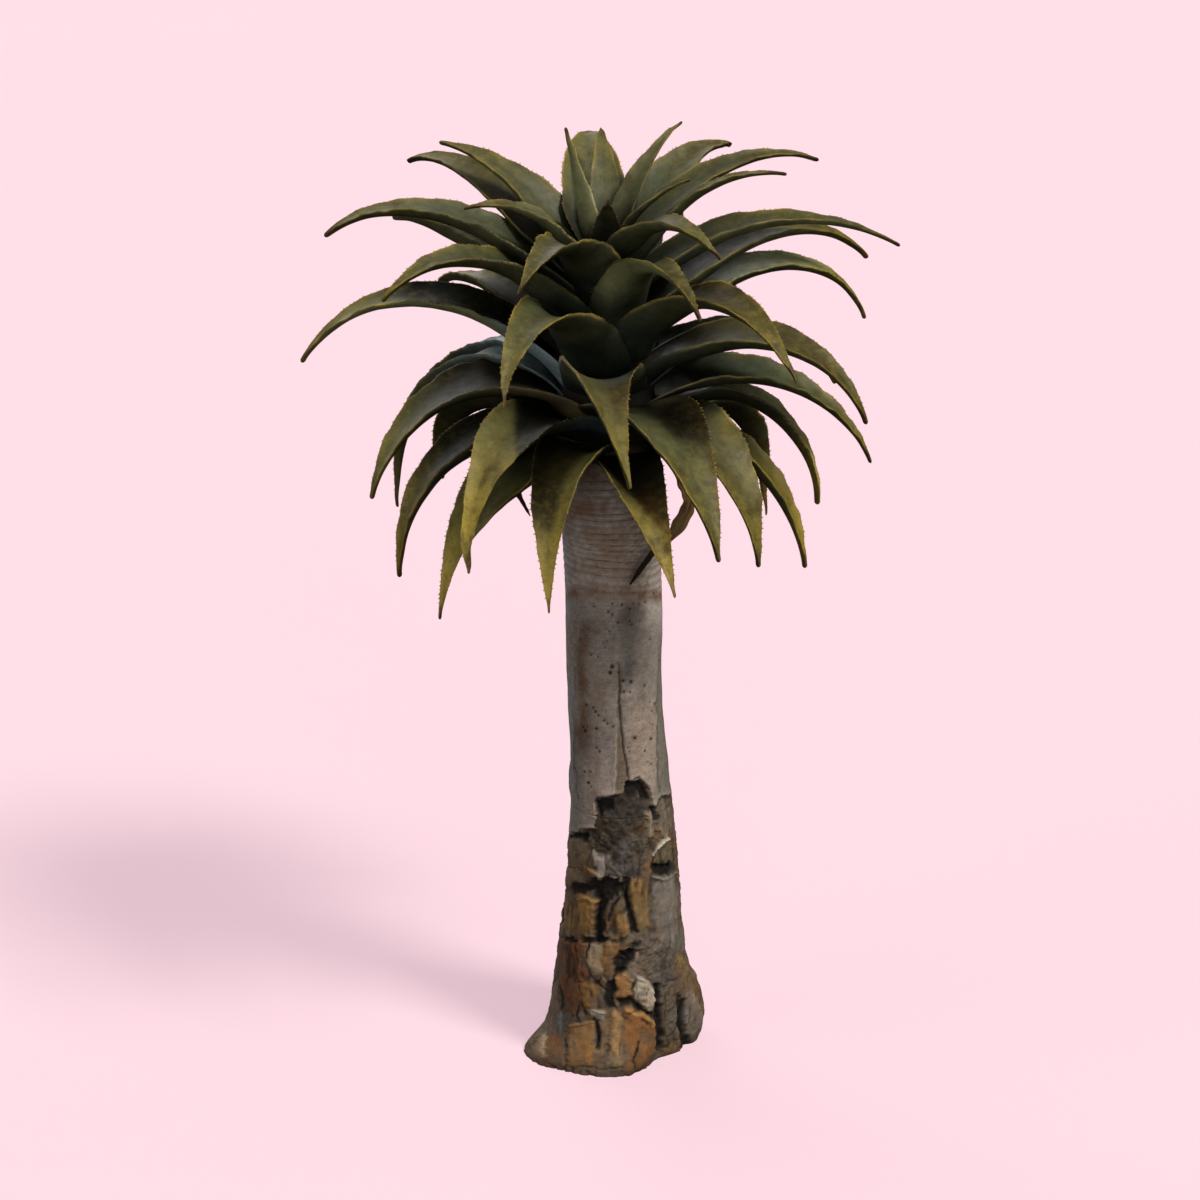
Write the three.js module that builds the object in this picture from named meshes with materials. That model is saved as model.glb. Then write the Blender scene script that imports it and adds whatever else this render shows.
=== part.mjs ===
import * as THREE from 'three';

// Young single-stemmed quiver tree: a smooth leaning trunk with a lobed root
// flare, one rosette of thick channelled leaves, and two dried leaves hanging
// under the rosette. Millimetres, +Z up, the ground at z = 0, the origin at the
// middle of the trunk's flat cut. +X is the side of the tall right root lobe,
// -Y is the side the tree is seen from.

// ---------------------------------------------------------------- trunk sizes
const TIP_Z = 1440;            // growing tip, inside the rosette
const STEM_R = 81;             // bare stem radius at half height
const FLARE_R = 40;            // extra radius that the root flare adds at the ground
const FLARE_H = 380;           // height over which the flare dies away
const SWELL_R = 3;             // slight swelling under the rosette
const SWELL_FROM = 700;
const SWELL_SPAN = 300;
const NECK_Z = 1060;           // from here up the stem narrows to the tip
const NECK = [[1060, 84], [1150, 82], [1230, 78], [1330, 64], [1390, 46], [1425, 26], [1440, 4]];
const LEAN_LOW = 15;           // sideways bow of the lower trunk
const LEAN_LOW_Z = 640;        // height where the bow comes back to the axis
const LEAN_TOP = -15;          // drift of the axis above that
const LEAN_TOP_SPAN = 790;
const TRUNK_SIDES = 44;
const TRUNK_RINGS = [0, 12, 25, 40, 60, 85, 115, 150, 190, 240, 300, 370, 450, 520, 600, 700,
  800, 900, 1000, 1090, 1160, 1230, 1290, 1330, 1365, 1395, 1415, 1430];
const CUT_HUB = [7, 5];        // where the facets of the flat cut meet
// root lobes: bearing deg, reach mm, spread deg, height mm, height of the middle mm
const ROOT_LOBES = [
  [12, 42, 32, 90, 40], [199, 45, 24, 28, 0], [232, 28, 24, 45, 0], [274, 28, 26, 50, 0],
  [310, -12, 20, 60, 0], [60, 18, 28, 60, 0], [135, 24, 26, 50, 0],
];

// ----------------------------------------------------------------- leaf sizes
const LEAF_FINE = 64;          // steps along the midrib
const LEAF_RINGS = 8;          // cross-sections kept on the blade
const LEAF_ACROSS = [-1, -0.55, 0, 0.55, 1];  // stations across the upper face
const LEAF_THICK = 10;         // greatest thickness of the blade
const LEAF_THICK_SHARE = 0.35; // limit of thickness as a share of the half width
const LEAF_THIN = 0.72;        // share of the thickness lost towards the point
const LEAF_TAPER = 1.25;       // taper exponent of the half width
const FOOT_SHARE = 0.5;        // the foot's width as a share of the blade's
const FOOT_SPAN = 0.22;        // length share over which the foot widens
const CHANNEL_FADE = 0.35;     // share of the channel's depth lost towards the point
const FOOT_GAP = 1;            // clearance between the stem and every foot

// Every leaf: foot height mm, bearing deg, rise at the foot deg, rise at the
// point deg, bend exponent, length mm, half width mm, channel depth share, roll
// deg, sideways sweep deg, stand-off from the stem mm.
const LEAVES = [
  ['leaf_low_01', 1118.7, -79.8, 27.6, -57.7, 0.651, 358.5, 66.1, 0.313, 14.6, 19.1, 5.5],
  ['leaf_low_02', 1119.4, -144.1, -1.5, -85.5, 1.132, 390.1, 72.1, 0.31, -20, 15.8, 0],
  ['leaf_low_03', 1121.5, 79.6, 29.6, -83.8, 0.816, 405, 65.4, 0.164, -0.7, -0.9, 3.1],
  ['leaf_low_04', 1125, 146.8, 45.3, -95.1, 0.97, 390.4, 69.2, 0.448, 0.3, -6.2, 7.1],
  ['leaf_low_05', 1134.3, 42.8, 19.6, -90.6, 1, 511.8, 63.1, 0.302, -2.5, 34.6, 4],
  ['leaf_low_06', 1134.6, 105.9, 31.1, -83.9, 0.91, 409.2, 60.6, 0.439, -0.6, -0.3, 6.9],
  ['leaf_low_07', 1135.4, -108.7, 16.2, -81.7, 1.305, 434.4, 68.3, 0.273, 5.3, 23.8, 3.6],
  ['leaf_low_08', 1139, -168.4, 25.4, -95.3, 0.848, 425.7, 71.1, 0.347, -18.1, 7.8, 0.6],
  ['leaf_low_09', 1160.1, -126, 41.2, -81.5, 0.898, 440.8, 84.6, 0.259, -9.1, 13.2, 4.9],
  ['leaf_low_10', 1153.8, -8.1, 7.1, -84.6, 0.798, 373.1, 50.6, 0.303, 10.7, -12.7, 11],
  ['leaf_low_11', 1167.5, 7.4, 61.1, -88.3, 0.66, 407.8, 48.2, 0.21, 4.7, -25.1, 0],
  ['leaf_low_12', 1175.6, 59.5, 34.8, -77.1, 0.876, 417.6, 68.2, 0.435, 3.1, 0.1, 7.3],
  ['leaf_low_13', 1179.8, 134.2, 33.3, -75.7, 0.883, 416.6, 67.6, 0.313, -1, 1.9, 5.6],
  ['leaf_mid_01', 1197.6, -65.6, 34.6, -62.5, 0.597, 392.1, 100, 0.155, -23.3, 5.2, 3.7],
  ['leaf_mid_02', 1188.9, 96.6, 37.8, -75.7, 0.88, 412.3, 68.5, 0.353, -0.9, -1.2, 6],
  ['leaf_mid_03', 1166.2, -46, 63.6, -88.2, 0.53, 377.2, 86.1, 0.12, 7.2, 10.9, 9.8],
  ['leaf_mid_04', 1197.5, 0.5, 32.8, -68, 0.985, 429.8, 71.3, 0.311, 17.3, 1, 1.5],
  ['leaf_mid_05', 1196.5, -174.3, 49.2, -78.4, 0.685, 413.2, 83.8, 0.133, -20.5, 9.4, 8.4],
  ['leaf_mid_06', 1213.5, 158.8, 49.9, -98.2, 0.683, 521.5, 53.6, 0.207, 16.5, -16.9, 0.1],
  ['leaf_mid_07', 1231, 29, 33.1, -58.3, 1.088, 429.1, 69, 0.238, -0.1, 1.3, 0.5],
  ['leaf_mid_08', 1231.7, -95, 29.6, -59.4, 1.53, 459.3, 82.8, 0.272, -19.8, 28.5, 0],
  ['leaf_mid_09', 1233.1, 78.9, 34.8, -70.7, 1.052, 430.1, 70.3, 0.138, -0.1, -0.8, 2.3],
  ['leaf_mid_10', 1242.4, 178.1, 52, -62.1, 1.201, 512, 64.4, 0.215, -27, -6.5, 2.9],
  ['leaf_mid_11', 1246.5, -13.6, 41.1, -70.2, 1.198, 433.1, 77.4, 0.214, 15.6, -7.9, 0],
  ['leaf_mid_12', 1259, 137.4, 3, -61.6, 1.298, 460.2, 53, 0.171, -3.2, -0.3, 6.8],
  ['leaf_mid_13', 1260, 101.5, 36.1, -69.3, 1.036, 428.9, 67.5, 0.217, 0.4, -2.5, 2.5],
  ['leaf_mid_14', 1270, 139, 27.9, -46.9, 1.872, 418.2, 57.4, 0.253, 5.1, -22.6, 1.4],
  ['leaf_mid_15', 1271.2, -115.5, 61.5, -66, 1.183, 430.7, 75.8, 0.333, -23.2, 7.9, 1.6],
  ['leaf_mid_16', 1290.9, 56.9, 40.6, -61.5, 1.145, 421.9, 67.9, 0.136, -0.9, 1.3, 7.4],
  ['leaf_mid_17', 1291, -45.8, 62.9, -60.7, 1.065, 437.2, 71, 0.304, 15.2, -5.1, 0],
  ['leaf_mid_18', 1297.2, 12.9, 41.3, -74.6, 1.8, 451.1, 70.1, 0.2, 14.2, 2.1, 0],
  ['leaf_mid_19', 1298.2, 95.9, 41.4, -57.6, 1.221, 428.8, 67, 0.184, 1, 2.2, 3.7],
  ['leaf_mid_20', 1330.8, -153.5, 57.5, -44.9, 1.303, 397.5, 69.8, 0.265, -14.1, 6, 0],
  ['leaf_mid_21', 1335.3, 112.6, 33.8, -39.7, 1.288, 400.5, 63.5, 0.208, -5.5, 4.4, 10],
  ['leaf_mid_22', 1335.6, -68.7, 84.3, -54.2, 0.988, 348.6, 58.2, 0.289, -7.2, 14.3, 0.6],
  ['leaf_mid_23', 1336.5, 15.6, 40.4, -52.5, 1.854, 455.2, 67.1, 0.188, 18.6, 9.4, 0.3],
  ['leaf_top_01', 1355.8, 71.5, 42.6, -43.4, 1.362, 407, 65.9, 0.31, -2.1, -1.4, 5.4],
  ['leaf_top_02', 1357.3, 144.4, 22.5, -1.8, 1.558, 405.4, 61.5, 0.307, 7.7, -3, 2.6],
  ['leaf_top_03', 1370.2, 178.9, 45.2, -37.2, 1.642, 456.4, 72.3, 0.218, -11.3, 6.4, 0.3],
  ['leaf_top_04', 1373.3, -109, 68.2, -39.4, 1.022, 377.4, 67.8, 0.353, -7.3, -5.7, 0.5],
  ['leaf_top_05', 1375, 9.9, 43.4, -31, 1.113, 473.1, 60.8, 0.344, 8.8, -8.3, 0.1],
  ['leaf_top_06', 1386.3, 147.8, 45.3, -23.7, 1.786, 444.4, 69.3, 0.237, -20.7, -19.5, 3.3],
  ['leaf_top_07', 1394, 92.9, 46.6, -30.1, 1.123, 349.3, 57.7, 0.297, -3.3, 2.6, 5.4],
  ['leaf_top_08', 1406.7, 151.4, 60.7, 2.2, 1.182, 344.2, 59.2, 0.27, -22.2, -2.1, 5.5],
  ['leaf_top_09', 1407.8, -21.4, 63.1, -5.3, 1.464, 336.7, 31.3, 0.239, 13.7, 2.4, 7],
  ['leaf_top_10', 1409.5, -162.3, 72.3, -10.9, 1.027, 256.3, 38.7, 0.285, -21.9, 7.7, 0],
  ['leaf_top_11', 1409.7, 49.9, 54.1, -22.8, 1.729, 370, 68.8, 0.292, 16.7, 2.3, 6.5],
  ['leaf_top_12', 1417, 23.5, 58.4, -18.2, 1.174, 407.6, 46.8, 0.278, 25.9, -2.4, 2.9],
  ['leaf_top_13', 1420.5, 100.8, 57, 7.3, 1.145, 295.8, 60.6, 0.378, -1.7, -12.9, 3.9],
  ['leaf_top_14', 1420.5, -50.6, 69.3, -44.4, 1.047, 283.1, 50.8, 0.282, 9.2, 4.8, 3.6],
  ['leaf_top_15', 1426.4, -86.7, 72, 64, 1.25, 120.6, 22.1, 0.127, -0.2, -3.2, 1.5],
  ['leaf_top_16', 1428.9, 35.3, 82.4, 25.5, 1.161, 257.4, 34.3, 0.348, 25.6, 9.3, 0.1],
  ['leaf_top_17', 1431.5, 89.8, 73.8, 30.2, 1.463, 220.5, 35.3, 0.137, -14.5, 8.5, 9.7],
  ['leaf_top_18', 1433.3, -152.7, 81.1, 73.7, 1.005, 215.9, 21, 0.307, 4.9, -15.7, 5.7],
  ['leaf_top_19', 1436, -29.4, 72.1, 22.7, 0.879, 196.5, 19.8, 0.312, 3.3, 7.6, 3.2],
];

// ---------------------------------------------------------- dried leaf sizes
const DRY_RINGS = 12;
// Every dried leaf hangs beside the stem: bearing at foot and point deg, turn
// exponent, height at foot and point mm, fall exponent, reach at foot and point
// mm, bulge away from the stem mm, bulge exponent, half width mm, thickness mm.
const DRY_LEAVES = [
  ['dry_leaf_right', -20.92, -69.88, 2.26, 1081.27, 893.28, 2.3, 85.5, 91.5, 70.37, 1.0, 14, 6],
  ['dry_leaf_left', 191.22, 197.66, 1.5, 1092.92, 999.42, 1.66, 85.5, 140, 52.04, 0.76, 8, 4],
];
const DRY_SECTION = [[-1, 0.25], [0, -0.35], [1, 0.25], [0.5, 1], [-0.5, 1]];
const DRY_TAPER = 0.75;
const DRY_THIN = 0.6;

// -------------------------------------------------------------------- colours
const BARK = { color: 0x8d7f73, roughness: 0.9, metalness: 0 };
const LEAF_LOW = { color: 0x6c6a38, roughness: 0.55, metalness: 0 };
const LEAF_MID = { color: 0x5a5d38, roughness: 0.55, metalness: 0 };
const LEAF_TOP = { color: 0x54583f, roughness: 0.55, metalness: 0 };
const DRY = { color: 0x7d6a55, roughness: 0.95, metalness: 0 };

// ------------------------------------------------------------------ functions
const rad = THREE.MathUtils.degToRad;
const clamp01 = (v) => Math.min(1, Math.max(0, v));

function axisX(z) {
  if (z < LEAN_LOW_Z) return LEAN_LOW * Math.sin(Math.PI * z / LEAN_LOW_Z);
  return LEAN_TOP * (z - LEAN_LOW_Z) / LEAN_TOP_SPAN;
}

function neckRadius(z) {
  for (let i = 1; i < NECK.length; i++) {
    const [z0, r0] = NECK[i - 1];
    const [z1, r1] = NECK[i];
    if (z <= z1) return r0 + (r1 - r0) * (z - z0) / (z1 - z0);
  }
  return NECK[NECK.length - 1][1];
}

function coreRadius(z) {
  if (z > NECK_Z) return neckRadius(z);
  return STEM_R + FLARE_R * Math.exp(-((z / FLARE_H) ** 2)) + SWELL_R * clamp01((z - SWELL_FROM) / SWELL_SPAN);
}

function trunkRadius(bearing, z) {
  let r = coreRadius(z);
  for (const [at, reach, spread, height, middle] of ROOT_LOBES) {
    const d = ((bearing - at + 540) % 360) - 180;
    r += reach * Math.exp(-((d / spread) ** 2)) * Math.exp(-(((z - middle) / height) ** 2));
  }
  return r;
}

// radius of the stem that the leaves stand on
function stemRadius(z) {
  if (z <= NECK_Z) return z <= 900 ? 84 - 2 * z / 900 : 82 + 2 * (z - 900) / (NECK_Z - 900);
  return neckRadius(z);
}

// closed body from rings of points: each ring joins the next, the last may be a
// single point, and cap(ring) gives the triangles that close the first ring
function loft(rings, cap) {
  const points = [];
  const index = [];
  const ids = rings.map((ring) => ring.map((p) => points.push(p) - 1));
  for (let i = 0; i + 1 < ids.length; i++) {
    const a = ids[i];
    const b = ids[i + 1];
    for (let j = 0; j < a.length; j++) {
      const k = (j + 1) % a.length;
      if (b.length === 1) index.push(a[j], a[k], b[0]);
      else index.push(a[j], a[k], b[k], a[j], b[k], b[j]);
    }
  }
  index.push(...cap(ids[0], points));
  // turn the faces outwards if the rings ran the other way
  let volume = 0;
  for (let i = 0; i < index.length; i += 3) {
    const [p, q, s] = [points[index[i]], points[index[i + 1]], points[index[i + 2]]];
    volume += p.dot(q.clone().cross(s));
  }
  if (volume < 0) for (let i = 0; i < index.length; i += 3) [index[i], index[i + 2]] = [index[i + 2], index[i]];
  const geometry = new THREE.BufferGeometry().setFromPoints(points);
  geometry.setIndex(index);
  geometry.computeVertexNormals();
  return geometry;
}

function trunkGeometry() {
  const rings = TRUNK_RINGS.map((z) => {
    const ring = [];
    for (let j = 0; j < TRUNK_SIDES; j++) {
      const bearing = 360 * j / TRUNK_SIDES;
      const r = trunkRadius(bearing, z);
      ring.push(new THREE.Vector3(axisX(z) + r * Math.cos(rad(bearing)), r * Math.sin(rad(bearing)), z));
    }
    return ring;
  });
  rings.push([new THREE.Vector3(axisX(TIP_Z), 0, TIP_Z)]);
  return loft(rings, (ring, points) => {
    const hub = points.push(new THREE.Vector3(CUT_HUB[0], CUT_HUB[1], 0)) - 1;
    return ring.flatMap((id, j) => [ring[(j + 1) % ring.length], id, hub]);
  });
}

function leafGeometry([, foot, bearing, rise, droop, bend, length, half, channel, roll, sweep, off]) {
  // midrib: direction at every step, and the points summed from it
  const steps = [];
  for (let i = 0; i <= LEAF_FINE; i++) {
    const t = i / LEAF_FINE;
    const el = rad(rise + (droop - rise) * t ** bend);
    const az = rad(bearing + sweep * t ** 1.5);
    const along = new THREE.Vector3(Math.cos(el) * Math.cos(az), Math.cos(el) * Math.sin(az), Math.sin(el));
    const side = new THREE.Vector3(-Math.sin(az), Math.cos(az), 0);
    const up = along.clone().cross(side);
    const turn = rad(roll * t);
    const across = side.clone().multiplyScalar(Math.cos(turn)).addScaledVector(up, Math.sin(turn));
    const face = up.clone().multiplyScalar(Math.cos(turn)).addScaledVector(side, -Math.sin(turn));
    steps.push({ t, along, across, face });
  }
  const reach = stemRadius(foot) + FOOT_GAP + off;
  const point = new THREE.Vector3(axisX(foot) + reach * Math.cos(rad(bearing)), reach * Math.sin(rad(bearing)), foot);
  const midrib = [point.clone()];
  for (let i = 1; i <= LEAF_FINE; i++) {
    point.addScaledVector(steps[i].along.clone().add(steps[i - 1].along), 0.5 * length / LEAF_FINE);
    midrib.push(point.clone());
  }
  const thick = Math.min(LEAF_THICK, LEAF_THICK_SHARE * half);
  const under = LEAF_ACROSS.slice(1, -1).reverse();
  const rings = [];
  for (let k = 0; k < LEAF_RINGS; k++) {
    const i = k * LEAF_FINE / LEAF_RINGS;
    const { t, across, face } = steps[i];
    const s = clamp01(t / FOOT_SPAN);
    const w = half * (1 - t ** LEAF_TAPER) * (FOOT_SHARE + (1 - FOOT_SHARE) * s * s * (3 - 2 * s));
    const c = channel * (1 - CHANNEL_FADE * t);
    const deep = thick * (1 - LEAF_THIN * t);
    const at = (a, n) => midrib[i].clone().addScaledVector(across, a).addScaledVector(face, n);
    rings.push([
      ...LEAF_ACROSS.map((u) => at(w * u * (1 - 0.12 * c * u * u), c * w * u * u)),
      ...under.map((u) => at(0.96 * w * u, c * w * u * u - deep * (1 - u * u) ** 0.8)),
    ]);
  }
  rings.push([midrib[LEAF_FINE]]);
  const n = LEAF_ACROSS.length;
  return loft(rings, (ring) => {
    const upper = ring.slice(0, n);
    const lower = [ring[0], ...ring.slice(n).reverse(), ring[n - 1]];
    const faces = [];
    for (let j = 0; j + 1 < n; j++) {
      if (lower[j] !== upper[j]) faces.push(upper[j], lower[j], upper[j + 1]);
      if (lower[j + 1] !== upper[j + 1]) faces.push(lower[j], lower[j + 1], upper[j + 1]);
    }
    return faces;
  });
}

function dryGeometry([, b0, b1, turn, z0, z1, fall, r0, r1, bulge, bulgeAt, half, thick]) {
  const mid = [];
  for (let k = 0; k <= DRY_RINGS; k++) {
    const t = k / DRY_RINGS;
    const az = rad(b0 + (b1 - b0) * t ** turn);
    const z = z0 + (z1 - z0) * t ** fall;
    const r = r0 + (r1 - r0) * t + bulge * Math.sin(Math.PI * t ** bulgeAt);
    mid.push(new THREE.Vector3(axisX(z) + r * Math.cos(az), r * Math.sin(az), z));
  }
  const rings = [];
  for (let k = 0; k < DRY_RINGS; k++) {
    const t = k / DRY_RINGS;
    const before = mid[Math.max(0, k - 1)];
    const along = mid[k + 1].clone().sub(before).normalize();
    const out = new THREE.Vector3(mid[k].x - axisX(mid[k].z), mid[k].y, 0).normalize();
    const across = along.clone().cross(out).normalize();
    const face = across.clone().cross(along);
    const w = half * (1 - DRY_TAPER * t);
    const deep = thick * (1 - DRY_THIN * t);
    rings.push(DRY_SECTION.map(([u, v]) => mid[k].clone().addScaledVector(across, w * u).addScaledVector(face, deep * v)));
  }
  rings.push([mid[DRY_RINGS]]);
  return loft(rings, (ring) => {
    const faces = [];
    for (let j = 1; j + 1 < ring.length; j++) faces.push(ring[0], ring[j + 1], ring[j]);
    return faces;
  });
}

// ---------------------------------------------------------------------- tree
const tree = new THREE.Group();

function add(name, geometry, finish) {
  const mesh = new THREE.Mesh(geometry, new THREE.MeshStandardMaterial(finish));
  mesh.name = name;
  tree.add(mesh);
}

add('trunk', trunkGeometry(), BARK);
for (const leaf of LEAVES) {
  const tier = leaf[0].split('_')[1];
  add(leaf[0], leafGeometry(leaf), tier === 'low' ? LEAF_LOW : tier === 'mid' ? LEAF_MID : LEAF_TOP);
}
for (const leaf of DRY_LEAVES) add(leaf[0], dryGeometry(leaf), DRY);

export default tree;
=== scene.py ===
import math
import bpy
import numpy as np
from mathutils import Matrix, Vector
from mathutils.bvhtree import BVHTree


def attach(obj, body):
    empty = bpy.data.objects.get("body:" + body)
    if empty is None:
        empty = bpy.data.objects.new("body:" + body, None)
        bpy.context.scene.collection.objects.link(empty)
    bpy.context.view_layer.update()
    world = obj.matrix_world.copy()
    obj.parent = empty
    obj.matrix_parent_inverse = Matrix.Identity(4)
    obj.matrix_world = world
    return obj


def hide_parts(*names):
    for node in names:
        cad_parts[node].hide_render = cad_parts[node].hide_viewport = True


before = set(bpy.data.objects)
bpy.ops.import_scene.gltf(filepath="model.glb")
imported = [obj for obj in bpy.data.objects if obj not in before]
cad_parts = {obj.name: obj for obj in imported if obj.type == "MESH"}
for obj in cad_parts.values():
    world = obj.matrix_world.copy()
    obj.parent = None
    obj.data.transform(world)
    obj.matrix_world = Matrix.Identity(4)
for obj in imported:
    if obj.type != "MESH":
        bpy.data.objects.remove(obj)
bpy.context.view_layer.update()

# Young quiver tree, worked out in millimetres in the model's own frame and
# handed to the meshes in metres. The trunk's relief is made of two meshes, the
# old bark and the smooth stem, and every leaf is a mesh of its own.

MM = 0.001

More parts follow.
